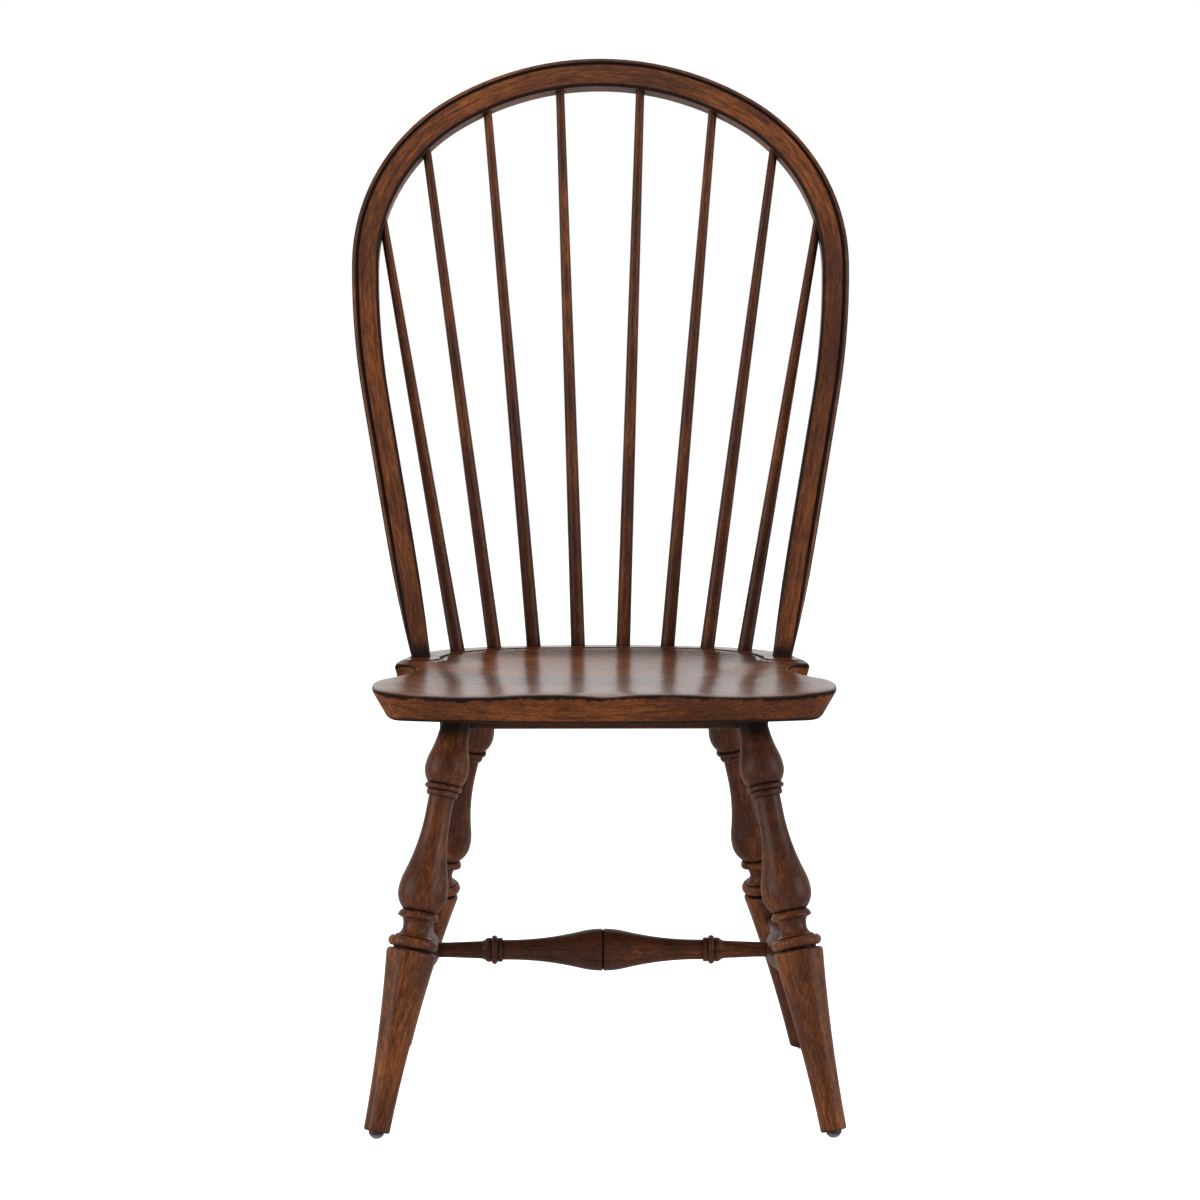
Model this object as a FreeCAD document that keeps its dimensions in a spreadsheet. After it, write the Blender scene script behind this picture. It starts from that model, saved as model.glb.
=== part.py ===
import FreeCAD, Part
import math
import os

import Sketcher
from FreeCAD import Placement, Rotation, Vector

# A bow-back side chair: a saddled plank seat, a bent bow with eight spindles, four raked
# turned legs, two side stretchers and a centre stretcher, and a batten screwed under the seat.
# The chair faces -Y and stands on Z = 0. Lengths are in millimetres and angles in degrees.
# Places across and along the chair are measured from the middle of its four feet, and the
# whole chair is then moved by feet_centre_y, so that the origin is under the middle of the chair.

SIZES = [
    # The chair as a whole
    ("feet_centre_y", -38.0, "middle of the feet, from the middle of the chair's depth"),
    ("glue_gap", 0.15, "play between a round tenon and its socket"),
    ("end_gap", 1.0, "room left past the end of a tenon"),
    # Seat
    ("seat_height", 450, "top of the deck, above the floor"),
    ("seat_thickness", 36, "plank"),
    ("seat_half_width", 237.5, "widest place, across the front lobes"),
    ("seat_lobe_along", -115, "widest place, behind the middle of the feet"),
    ("seat_front", 218, "front edge at the middle"),
    ("seat_back", 248, "back edge at the middle"),
    ("seat_front_radius", 760, "bend of the front edge"),
    ("seat_corner_radius", 38, "front corners"),
    ("notch_radius", 15, "round notch in front of each ear"),
    ("notch_across", 213.5, "centre of the notch, from the middle"),
    ("notch_along", 45, "centre of the notch, behind the middle of the feet"),
    ("ear_across", 222, "tip of the ear, from the middle"),
    ("ear_angle", 10, "side of the ear, off straight back"),
    ("seat_back_corner_radius", 130, "rear corners"),
    ("seat_back_radius", 400, "bend of the back edge"),
    ("seat_front_bevel", 18, "how far the side runs in below, at the front and the lobes"),
    ("seat_back_bevel", 6, "how far the side runs in below, at the ears and the back"),
    ("seat_lower_round", 4, "rounded lower edge"),
    ("ear_round", 4, "rounded tip of the ear"),
    # Saddle of the seat
    ("saddle_depth", 13, "deepest part of the seat below the deck"),
    ("saddle_ramp", 110, "run from the groove down to the deepest part"),
    ("saddle_steepness", 2.5, "power that rounds that run"),
    ("saddle_half_width", 172, "edge of the saddle beside the spindle deck"),
    ("saddle_back", 207.5, "edge of the saddle at the back"),
    ("saddle_back_radius", 650, "bend of the edge at the back"),
    ("saddle_corner_radius", 110, "bend of the edge beside the spindles"),
    ("saddle_lobe_width", 245, "where the saddle would run out beside the lobes"),
    ("saddle_ear_turn", 20, "turn of the saddle's edge towards the ear"),
    ("saddle_front_rise", 4.4, "how much the front edge stands above the deepest part"),
    ("pommel_height", 3.4, "hump between the thighs"),
    ("pommel_start", 0.6, "share of the way to the front where the hump is full"),
    ("pommel_half_width", 105, "half the width of the hump"),
    ("pommel_dip", 2.8, "worn dip at the front of the hump"),
    ("pommel_dip_half_width", 24, "half the width of the dip"),
    ("pommel_dip_length", 30, "how far the dip runs back"),
    ("deck_groove_width", 2.4, "line scribed between deck and saddle"),
    ("deck_groove_depth", 1.2, "depth of that line"),
    # Bow
    ("bow_lean", 15, "lean back of the bow"),
    ("bow_along", 120.5, "middle of the bow's foot on the deck"),
    ("bow_length", 666.2, "top of the bow, up its slope from the deck"),
    ("bow_half_width", 272.2, "widest place, outside"),
    ("bow_top_radius", 322, "outside of the crown"),
    ("bow_shoulder_radius", 218, "outside of the shoulders"),
    ("bow_side_bend", 75.7, "half the run of the side's bend into its straight part"),
    ("bow_foot_spread", 210.5, "where the straight sides aim at the deck"),
    ("bow_face", 29, "width of the bow's front face at the sides"),
    ("bow_crown_extra", 2.5, "how much wider that face is at the top"),
    ("bow_thickness", 26, "front to back"),
    ("bow_foot_across", 195, "middle of the foot on the deck"),
    ("bow_foot_face", 20.6, "width of the foot on the deck"),
    ("bow_foot_taper", 120, "length over which the foot narrows"),
    ("bow_front_round", 3, "rounded front edges"),
    ("bow_back_round", 4, "rounded back edges"),
    ("bow_line_inset", 5, "scribed line, in from the outer edge"),
    ("bow_line_width", 2.6, "width of that line"),
    ("bow_line_depth", 1.2, "depth of that line"),
    ("bow_line_end", 112, "where the line stops above the deck"),
    ("bow_tenon_radius", 7.5, "round tenon under the foot"),
    ("bow_tenon_length", 24, "its length into the seat"),
    # Spindles, numbered from the left side of the picture, so from -X
    ("spindle_foot_radius", 7.85, "at the deck"),
    ("spindle_top_radius", 4.75, "at the bow"),
    ("spindle_foot_depth", 18, "into the seat"),
    ("spindle_top_depth", 16, "into the bow"),
    ("inner_spindle_across", 25, "fourth and fifth, at the deck"),
    ("second_spindle_across", 74, "third and sixth, at the deck"),
    ("third_spindle_across", 117.2, "second and seventh, at the deck"),
    ("outer_spindle_across", 156.6, "first and eighth, at the deck"),
    ("inner_spindle_along", 230, "behind the middle of the feet"),
    ("second_spindle_along", 224, "behind the middle of the feet"),
    ("third_spindle_along", 205, "behind the middle of the feet"),
    ("outer_spindle_along", 171, "behind the middle of the feet"),
    ("inner_spindle_top", 0.182, "from the middle, as a share of the bow's inner half width"),
    ("second_spindle_top", 0.511, "from the middle, as a share of the bow's inner half width"),
    ("third_spindle_top", 0.785, "from the middle, as a share of the bow's inner half width"),
    ("outer_spindle_top", 0.977, "from the middle, as a share of the bow's inner half width"),
    # Places of the legs
    ("front_leg_across", 149.3, "at the underside of the seat"),
    ("front_leg_along", -128.4, "at the underside of the seat"),
    ("front_foot_across", 230.3, "where the leg's line meets the floor"),
    ("front_foot_along", -217.5, "where the leg's line meets the floor"),
    ("rear_leg_across", 126.8, "at the underside of the seat"),
    ("rear_leg_along", 132.1, "at the underside of the seat"),
    ("rear_foot_across", 225.4, "where the leg's line meets the floor"),
    ("rear_foot_along", 218.2, "where the leg's line meets the floor"),
    # Turning of the legs, as distances down from the underside of the seat and as radii
    ("leg_tenon_length", 18, "into the seat"),
    ("leg_top_radius", 14.6, "tenon and top of the leg"),
    ("leg_top_length", 5, "plain length under the seat"),
    ("leg_vase_at", 54.5, "widest place of the upper vase"),
    ("leg_vase_radius", 22.4, "upper vase"),
    ("leg_vase_round", 46, "bend of the upper vase at its widest"),
    ("leg_collar_at", 70.5, "start of the upper collar"),
    ("leg_collar_waist", 16.4, "valley above the upper collar"),
    ("leg_collar_width", 5.6, "length of the upper collar"),
    ("leg_collar_radius", 18.9, "upper collar"),
    ("leg_fillet_radius", 16.1, "small bead under the upper collar"),
    ("leg_fillet_waist", 15.2, "edges of that bead"),
    ("leg_fillet_width", 6.2, "its length"),
    ("leg_neck_radius", 13, "neck over the lower vase"),
    ("leg_neck_end", 101, "end of the neck"),
    ("leg_belly_at", 181.5, "widest place of the lower vase"),
    ("leg_belly_radius", 25.2, "lower vase"),
    ("leg_belly_round", 60, "bend of the lower vase at its widest"),
    ("leg_disc_at", 200.8, "start of the lower collar"),
    ("leg_disc_waist", 16.2, "valley above the lower collar"),
    ("leg_disc_edge", 17.4, "upper edge of the lower collar"),
    ("leg_disc_bend", 8, "bend of its upper side"),
    ("leg_disc_lip_at", 206.2, "upper edge of its lip"),
    ("leg_disc_lip", 1.2, "thickness of the lip"),
    ("leg_disc_radius", 20.6, "lip"),
    ("leg_disc_end", 209.8, "end of the lower collar"),
    ("leg_cove_end", 227, "end of the cove"),
    ("leg_cove_radius", 13.4, "narrowest place of the cove"),
    ("leg_cove_upper", 15.2, "top edge of the cove"),
    ("leg_cove_lower", 20.4, "bottom edge of the cove"),
    ("leg_quirk_radius", 19, "narrow groove between cove and thick ring"),
    ("leg_quirk_width", 1, "width of that groove"),
    ("leg_torus_width", 10.2, "length of the thick ring"),
    ("leg_torus_waist", 22.4, "edges of the thick ring"),
    ("leg_torus_radius", 25.4, "thick ring"),
    ("leg_groove_width", 2.2, "groove under the thick ring"),
    ("leg_groove_radius", 19, "bottom of that groove"),
    ("leg_shoulder_radius", 25.2, "top of the foot"),
    ("leg_shoulder_round", 4, "rounding at the top of the foot"),
    ("leg_foot_radius", 13.2, "end of the foot"),
    ("leg_foot_hollow", 2.4, "how far the foot's side runs in from straight"),
    ("leg_foot_round", 2.4, "rounded edge of the foot"),
    # Stretchers, as distances out from the middle and as radii
    ("stretcher_height", 151, "axis above the floor"),
    ("stretcher_end_radius", 7.9, "at the tenons"),
    ("stretcher_line_width", 2.2, "line turned round the middle"),
    ("stretcher_line_depth", 1.8, "depth of that line"),
    ("stretcher_neck_at", 100, "end of the swelling"),
    ("side_belly_radius", 23.7, "side stretcher at the middle"),
    ("side_belly_round", 95, "bend of its swelling at the middle"),
    ("side_neck_radius", 10.2, "side stretcher where the swelling ends"),
    ("side_tip_gap", 2, "tip of the tenon, short of the leg's line"),
    ("centre_belly_radius", 22.2, "centre stretcher at the middle"),
    ("centre_belly_round", 95, "bend of its swelling at the middle"),
    ("centre_neck_radius", 10.5, "centre stretcher where the swelling ends"),
    ("centre_ring_at", 114, "middle of each ring"),
    ("centre_ring_width", 6, "length of the ring"),
    ("centre_ring_radius", 15.2, "ring"),
    ("centre_ring_edge", 13.2, "edges of the ring"),
    ("centre_bead_width", 5.5, "length of the bead on each side of the ring"),
    ("centre_bead_radius", 12.8, "those beads"),
    ("centre_bead_waist", 12.2, "edges of those beads"),
    ("centre_flare_length", 6.6, "hollow flare outside the outer bead"),
    ("centre_taper_radius", 9.2, "start of the tapered end"),
    ("centre_tenon_depth", 14, "into the side stretcher"),
    ("stretcher_plain_length", 10, "plain length of an end before it enters its socket"),
    # Batten and its screws
    ("batten_length", 335, "left to right"),
    ("batten_width", 46, "front to back"),
    ("batten_thickness", 15.4, "top to bottom"),
    ("batten_front", -108, "front face"),
    ("batten_round", 2, "rounded lower edges"),
    ("screw_inner_across", 52, "inner pair of screws"),
    ("screw_outer_across", 122, "outer pair of screws"),
    ("screw_length", 30, "whole screw"),
    ("screw_radius", 2, "shank"),
    ("screw_head_radius", 4, "countersunk head"),
    ("screw_head_depth", 2.6, "countersink"),
    ("screw_point_length", 5, "tapered point"),
    ("screw_slot_width", 1, "slot in the head"),
    ("screw_slot_depth", 1.2, "depth of the slot"),
    ("screw_gap", 0.1, "play round the screw"),
    # Glides and their nails
    ("glide_radius", 7.8, "rim"),
    ("glide_rim", 1.4, "height of the rim"),
    ("glide_dome", 5.5, "height of the dome over the rim"),
    ("glide_flat", 0.6, "worn off the dome where it stands"),
    ("nail_radius", 1.1, "shank"),
    ("nail_length", 17, "into the foot"),
    ("nail_head_radius", 3.4, "head, moulded into the glide"),
    ("nail_head_thickness", 1.2, "head"),
    ("nail_head_at", 1.4, "depth of the head below the end of the foot"),
    ("nail_gap", 0.05, "play round the nail"),
]

doc = FreeCAD.newDocument("BowBackChair")


def make_sheet():
    """Writes the driving dimensions, one row each: name, size and what it is."""
    sheet = doc.addObject("Spreadsheet::Sheet", "Sizes")
    for row, (alias, value, what) in enumerate(SIZES, start=1):
        sheet.set(f"A{row}", alias)
        sheet.set(f"B{row}", str(value))
        sheet.setAlias(f"B{row}", alias)
        sheet.set(f"C{row}", what)
    doc.recompute()
    return sheet


sheet = make_sheet()


def size(alias):
    """The number in the sheet's cell of that name."""
    return float(sheet.get(alias))


def cell(alias):
    """The name of a size as an expression reads it."""
    return "Sizes." + alias


def make_body(label):
    body = doc.addObject("PartDesign::Body", label)
    body.Label = label
    return body


def make_sketch(body, role, name):
    """A sketch on one of the body's own origin planes."""
    sketch = body.newObject("Sketcher::SketchObject", name)
    support = [item for item in body.Origin.OriginFeatures if item.Role == role]
    sketch.AttachmentSupport = [(support[0], "")]
    sketch.MapMode = "FlatFace"
    return sketch


def bind(item, **expressions):
    """Ties properties of an object to sheet expressions."""
    for name, expression in expressions.items():
        item.setExpression(name, expression)


def arc_of_bend(start, end, bend, hollow):
    """An arc between two points whose middle stands away from the axis, or towards it."""
    chord = end - start
    out = Vector(chord.y, -chord.x, 0)
    if out.x < 0:
        out = -out
    if hollow:
        out = -out
    out.normalize()
    half = chord.Length / 2
    rise = bend - math.sqrt(bend**2 - half**2)
    return Part.Arc(start, (start + end) / 2 + out * rise, end)


def level_bend(rise, run):
    """Bend of an arc that starts level with the axis and rises by that much over that run."""
    return f"((({run})^2 + ({rise})^2) / (2 * ({rise})))"


class Turning:
    """Half the outline of a turned piece: radius to the right, distance along its axis upwards.

    Every corner is held by two constraints that read the sheet, and every arc by its radius.
    """

    def __init__(self, body, radius, start):
        self.body = body
        self.sketch = make_sketch(body, "XZ_Plane", "Outline")
        self.corners = [("0", start), (radius, start)]
        self.bends = [None]

    def to(self, radius, along):
        """A straight run to the corner at these two expressions."""
        self.corners.append((radius, along))
        self.bends.append(None)
        return self

    def arc(self, radius, along, bend, hollow=False):
        """An arc of that bend to the corner, crowned or hollow."""
        self.corners.append((radius, along))
        self.bends.append((bend, hollow))
        return self

    def bead(self, radius, start, end, waist):
        """A crowned bead between two distances, which starts and ends at the waist."""
        half_width = f"((({end}) - ({start})) / 2)"
        bend = level_bend(f"({radius}) - ({waist})", half_width)
        return self.to(waist, start).arc(waist, end, bend)

    def cove(self, radius, lower, end):
        """A hollow from the last corner, narrowest at its middle, to an edge of that radius."""
        upper, start = self.corners[-1]
        middle = f"((({start}) + ({end})) / 2)"
        run = f"((({end}) - ({start})) / 2)"
        self.arc(radius, middle, level_bend(f"({upper}) - ({radius})", run), hollow=True)
        return self.arc(lower, end, level_bend(f"({lower}) - ({radius})", run), hollow=True)

    def round_off(self, radius, along):
        """A crowned arc that leaves the last corner level with the axis."""
        first_radius, first_along = self.corners[-1]
        run = f"(({along}) - ({first_along}))"
        return self.arc(radius, along, level_bend(f"({first_radius}) - ({radius})", run))

    def ogee(self, radius, along, wide_bend):
        """An S-shaped run, level with the axis at both ends, with that bend at its wide end."""
        first_radius, first_along = self.corners[-1]
        step = f"(({radius}) - ({first_radius}))"
        run = f"(({along}) - ({first_along}))"
        bends = level_bend(f"abs({step})", run)
        swells = self.value(step) > 0
        share = f"(1 - ({wide_bend}) / {bends})" if swells else f"(({wide_bend}) / {bends})"
        middle = (f"({first_radius}) + {step} * {share}", f"({first_along}) + {run} * {share}")
        narrow_bend = f"{bends} - ({wide_bend})"
        if swells:
            return self.arc(*middle, narrow_bend, hollow=True).arc(radius, along, wide_bend)
        return self.arc(*middle, wide_bend).arc(radius, along, narrow_bend, hollow=True)

    def mirror(self):
        """Repeats the outline so far the other way, before its start."""
        outline = self.corners[1:]
        before = [(radius, f"-({along})") for radius, along in reversed(outline[1:])]
        self.corners = [("0", before[0][1]), *before, *outline]
        self.bends = [None, *reversed(self.bends[1:]), *self.bends[1:]]
        return self

    def value(self, expression):
        return float(self.body.evalExpression(expression))

    def revolve(self):
        """Closes the outline at the axis and turns it into the piece."""
        if self.corners[-1][0] != "0":
            self.to("0", self.corners[-1][1])
        self.bends.append(None)
        self.draw()
        turning = self.body.newObject("PartDesign::Revolution", "Turning")
        turning.Profile = self.sketch
        turning.ReferenceAxis = (self.sketch, ["V_Axis"])
        turning.Angle = 360
        self.sketch.Visibility = False

    def draw(self):
        points = [Vector(self.value(radius), self.value(along), 0) for radius, along in self.corners]
        ends = []
        for number, start in enumerate(points):
            end = points[(number + 1) % len(points)]
            curve = Part.LineSegment(start, end)
            if self.bends[number]:
                bend, hollow = self.bends[number]
                curve = arc_of_bend(start, end, self.value(bend), hollow)
            index = self.sketch.addGeometry(curve)
            begins_here = self.sketch.getPoint(index, 1).distanceToPoint(start) < 1e-6
            ends.append((index, 1 if begins_here else 2))
        for number, (index, first) in enumerate(ends):
            following, start = ends[(number + 1) % len(ends)]
            self.constrain("Coincident", index, 3 - first, following, start)
            if self.bends[number]:
                self.hold("Radius", (index,), self.bends[number][0])
            radius, along = self.corners[number]
            self.place("DistanceX", index, first, radius, -2)
            self.place("DistanceY", index, first, along, -1)

    def place(self, kind, index, end, expression, axis):
        if expression == "0":
            self.constrain("PointOnObject", index, end, axis)
        else:
            self.hold(kind, (-1, 1, index, end), expression)

    def hold(self, kind, where, expression):
        number = self.constrain(kind, *where, self.value(expression))
        self.sketch.setExpression(f"Constraints[{number}]", expression)

    def constrain(self, kind, *values):
        return self.sketch.addConstraint(Sketcher.Constraint(kind, *values))


def drill(body, name, point, direction, depth, radius):
    """A round socket from a point in the body's own frame, along a direction.

    Depth and radius are expressions.
    """
    socket = body.newObject("PartDesign::SubtractiveCylinder", name)
    bind(socket, Radius=radius, Height=depth)
    socket.Placement = Placement(point, Rotation(Vector(0, 0, 1), direction))


def drill_at(body, name, point, direction, depth, radius):
    """The same, from a point and a direction in the chair's frame."""
    frame = body.Placement.inverse()
    drill(body, name, frame.multVec(point), frame.Rotation.multVec(direction), depth, radius)


# Reference lines of the chair: the legs', stretchers' and spindles' axes

FEET_CENTRE = Vector(0, size("feet_centre_y"), 0)
DECK = size("seat_height")
UNDERSIDE = DECK - size("seat_thickness")
SIDES = {"left": -1, "right": 1}
GAP = cell("glue_gap")


def from_feet(across, along, height):
    """A point of the chair, from its places across and along and its height."""
    return FEET_CENTRE + Vector(across, along, height)


def leg_line(end, side):
    """The leg's line: where it meets the seat's underside, and its direction down."""
    turn = SIDES[side]
    top = from_feet(turn * size(f"{end}_leg_across"), size(f"{end}_leg_along"), UNDERSIDE)
    foot = from_feet(turn * size(f"{end}_foot_across"), size(f"{end}_foot_along"), 0)
    direction = foot - top
    direction.normalize()
    return top, direction


def on_line(start, direction, height):
    """The point of a line that lies at a height."""
    return start + direction * ((height - start.z) / direction.z)


def side_stretcher_ends(side):
    """Where a side stretcher's axis meets the lines of its front and rear legs."""
    return [on_line(*leg_line(end, side), size("stretcher_height")) for end in ("front", "rear")]


# Seat


def point_at(centre, radius, angle):
    """A point of a circle, its angle in radians from +X."""
    return Vector(centre.x + radius * math.cos(angle), centre.y + radius * math.sin(angle), 0)


def heading(start, end):
    return math.atan2(end.y - start.y, end.x - start.x)


def seat_outline(front_inset, back_inset):
    """The seat's outline in plan, drawn in by an inset, as arcs and lines round the seat.

    The front inset counts for the front edge and the lobes, the back inset for notches, ears and
    back edge. The right half runs from the front edge past the front corner, the lobe, the notch
    and the ear to the back edge, and the left half mirrors it.
    """
    front_centre = Vector(0, size("seat_front_radius") - size("seat_front"), 0)
    front_radius = size("seat_front_radius") - front_inset
    corner_radius = size("seat_corner_radius") - front_inset
    half_width = size("seat_half_width") - front_inset
    notch_centre = Vector(size("notch_across"), size("notch_along"), 0)
    notch_radius = size("notch_radius") + back_inset

    # The side of the lobe touches the notch, and the front corner touches the lobe and the front
    beside = notch_centre.x - half_width
    behind = notch_centre.y - size("seat_lobe_along")
    lobe_radius = (beside**2 + behind**2 - notch_radius**2) / (2 * (notch_radius - beside))
    lobe_centre = Vector(half_width - lobe_radius, size("seat_lobe_along"), 0)
    lobe_angle = heading(lobe_centre, notch_centre)
    reaches = (front_radius - corner_radius, lobe_radius - corner_radius)
    corner_centre = circles_meet(front_centre, reaches[0], lobe_centre, reaches[1])
    front_angle = heading(front_centre, corner_centre)
    corner_angle = heading(lobe_centre, corner_centre)

    # The back corner touches the straight side of the ear and the back edge
    ear_angle = math.radians(size("ear_angle"))
    ear_reach = size("ear_across") - notch_centre.x
    tip_along = notch_centre.y + math.sqrt(size("notch_radius") ** 2 - ear_reach**2)
    ear_tip = Vector(size("ear_across"), tip_along, 0)
    along_ear = Vector(-math.sin(ear_angle), math.cos(ear_angle), 0)
    off_ear = Vector(math.cos(ear_angle), math.sin(ear_angle), 0)
    back_centre = Vector(0, size("seat_back") - size("seat_back_radius"), 0)
    back_radius = size("seat_back_radius") - back_inset
    back_corner_radius = size("seat_back_corner_radius") - back_inset
    beside_ear = ear_tip - off_ear * size("seat_back_corner_radius")
    back_reach = back_radius - back_corner_radius
    back_corner = line_meets_circle(beside_ear, along_ear, back_centre, back_reach)
    back_angle = heading(back_centre, back_corner)
    tip = line_meets_circle(ear_tip - off_ear * back_inset, along_ear, notch_centre, notch_radius)

    right = [
        arc(corner_centre, corner_radius, front_angle, corner_angle),
        arc(lobe_centre, lobe_radius, corner_angle, lobe_angle),
        arc(notch_centre, notch_radius, lobe_angle - math.pi, heading(notch_centre, tip) - 2 * math.pi),
        [tip, point_at(back_corner, back_corner_radius, ear_angle)],
        arc(back_corner, back_corner_radius, ear_angle, back_angle),
    ]
    left = [[mirrored(point) for point in reversed(run)] for run in reversed(right)]
    front = arc(front_centre, front_radius, -math.pi - front_angle, front_angle)
    back = arc(back_centre, back_radius, back_angle, math.pi - back_angle)
    return [front, *right, back, *left]


def arc(centre, radius, first, last):
    """First, middle and last point of an arc."""
    return [point_at(centre, radius, angle) for angle in (first, (first + last) / 2, last)]


def circles_meet(first, first_radius, second, second_radius):
    """The place furthest right where two circles meet."""
    apart = second - first
    along = (first_radius**2 - second_radius**2 + apart.Length**2) / (2 * apart.Length)
    off = math.sqrt(first_radius**2 - along**2)
    apart.normalize()
    across = Vector(apart.y, -apart.x, 0)
    places = [first + apart * along + across * (turn * off) for turn in (-1, 1)]
    return max(places, key=lambda place: place.x)


def line_meets_circle(start, direction, centre, radius):
    """The second place where a line meets a circle."""
    offset = start - centre
    slide = offset.dot(direction)
    run = math.sqrt(slide**2 - offset.dot(offset) + radius**2) - slide
    return start + direction * run


def mirrored(point):
    return Vector(-point.x, point.y, 0)


def draw_runs(sketch, runs):
    """Draws arcs of three points and lines of two, joined end to end in a closed loop."""
    for run in runs:
        curve = Part.Arc(*run) if len(run) == 3 else Part.LineSegment(*run)
        sketch.addGeometry(curve)
    for number, run in enumerate(runs):
        following = (number + 1) % len(runs)
        last = nearest_end(sketch, number, run[-1])
        first = nearest_end(sketch, following, run[-1])
        sketch.addConstraint(Sketcher.Constraint("Coincident", number, last, following, first))


def nearest_end(sketch, index, point):
    """Which end of a drawn curve lies at the point: 1 for its first, 2 for its last."""
    return min((1, 2), key=lambda end: sketch.getPoint(index, end).distanceToPoint(point))


def ease(share):
    """0 at 0 and 1 at 1, level at both ends and beyond them."""
    share = min(1, max(0, share))
    return share**2 * (3 - 2 * share)


def bump(place, half_width, power=2):
    """A smooth hump that is 1 at its middle and falls off past its half width."""
    return math.exp(-(abs(place / half_width) ** power))


def saddle_corner():
    """Centre of the bend of the saddle's edge beside the spindles."""
    reach = size("saddle_back_radius") - size("saddle_corner_radius")
    across = size("saddle_half_width") - size("saddle_corner_radius")
    back_centre_y = size("saddle_back") - size("saddle_back_radius")
    return Vector(across, back_centre_y + math.sqrt(reach**2 - across**2), 0)


def inside_deck_line(across, along):
    """How far a place on the seat lies inside the line between saddle and deck."""
    corner = saddle_corner()
    corner_radius = size("saddle_corner_radius")
    back_radius = size("saddle_back_radius")
    back_centre = Vector(0, size("saddle_back") - back_radius, 0)
    place = Vector(abs(across), along, 0)
    if along > corner.y and place.x < size("saddle_half_width"):
        if heading(corner, place) < heading(back_centre, corner):
            return corner_radius - place.distanceToPoint(corner)
        return back_radius - place.distanceToPoint(back_centre)
    turn = size("saddle_ear_turn")
    beside = max(0, size("saddle_half_width") + turn - place.x)
    before = max(0, corner.y - along)
    return math.hypot(beside, before) - turn


def hollowed(distance):
    """Share of the saddle's full depth at a distance inside its edge. It is negative outside."""
    inside = min(1, distance / size("saddle_ramp"))
    return 1 - (1 - inside) ** size("saddle_steepness")


def saddle_depth(across, along):
    """Depth of the saddle under the deck. It is negative outside the saddle's edge."""
    front = size("seat_front")
    forward = min(1, max(0, -along / front))
    rise = size("saddle_front_rise") * forward**2
    pommel = size("pommel_height") * bump(across, size("pommel_half_width"), 6)
    pommel *= ease(forward / size("pommel_start"))
    dip = size("pommel_dip") * bump(across, size("pommel_dip_half_width"))
    dip *= bump(along + front, size("pommel_dip_length"))
    full = size("saddle_depth") - rise - pommel + dip
    beside_lobes = hollowed(size("saddle_lobe_width") - abs(across))
    return full * hollowed(inside_deck_line(across, along)) * beside_lobes


def make_saddle_cutter():
    """The space above the saddle, as a solid whose underside is the saddle's surface."""
    steps = 40
    half_width = (size("seat_half_width") + size("saddle_lobe_width")) / 2
    front = -size("seat_front") - size("seat_corner_radius")
    back = size("seat_back") + size("seat_corner_radius")
    rows = []
    for row in range(steps + 1):
        across = half_width * (2 * row / steps - 1)
        places = [front + (back - front) * step / steps for step in range(steps + 1)]
        rows.append([Vector(across, along, -saddle_depth(across, along)) for along in places])
    surface = Part.BSplineSurface()
    surface.interpolate(rows)
    cutter = doc.addObject("Part::Feature", "saddle_cutter")
    cutter.Shape = surface.toShape().extrude(Vector(0, 0, size("seat_thickness")))
    cutter.Placement = Placement(from_feet(0, 0, DECK), Rotation())
    return cutter


def groove_runs(half_width):
    """The line scribed along the saddle's edge, as a closed band from ear to ear."""
    back_radius = size("saddle_back_radius")
    turn = size("saddle_ear_turn")
    back_centre = Vector(0, size("saddle_back") - back_radius, 0)
    corner = saddle_corner()
    back_angle = heading(back_centre, corner)
    turn_centre = Vector(size("saddle_half_width") + turn, corner.y, 0)
    past_ear = size("ear_across") + size("seat_corner_radius")

    def edge(offset):
        """One edge of the band, from the left ear to the right one."""
        back = arc(back_centre, back_radius + offset, math.pi - back_angle, back_angle)
        bend = arc(corner, size("saddle_corner_radius") + offset, back_angle, 0)
        turned = arc(turn_centre, turn - offset, math.pi, 1.5 * math.pi)
        straight = [turned[-1], Vector(past_ear, turned[-1].y, 0)]
        right = [bend, turned, straight]
        left = [[mirrored(point) for point in reversed(run)] for run in reversed(right)]
        return [*left, back, *right]

    return closed_band(edge(half_width), edge(-half_width))


def closed_band(outer, inner):
    """A closed loop of two lines that run the same way, joined by a straight run at each end."""
    back = [list(reversed(run)) for run in reversed(inner)]
    return [*outer, [outer[-1][-1], back[0][0]], *back, [back[-1][-1], outer[0][0]]]


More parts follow.
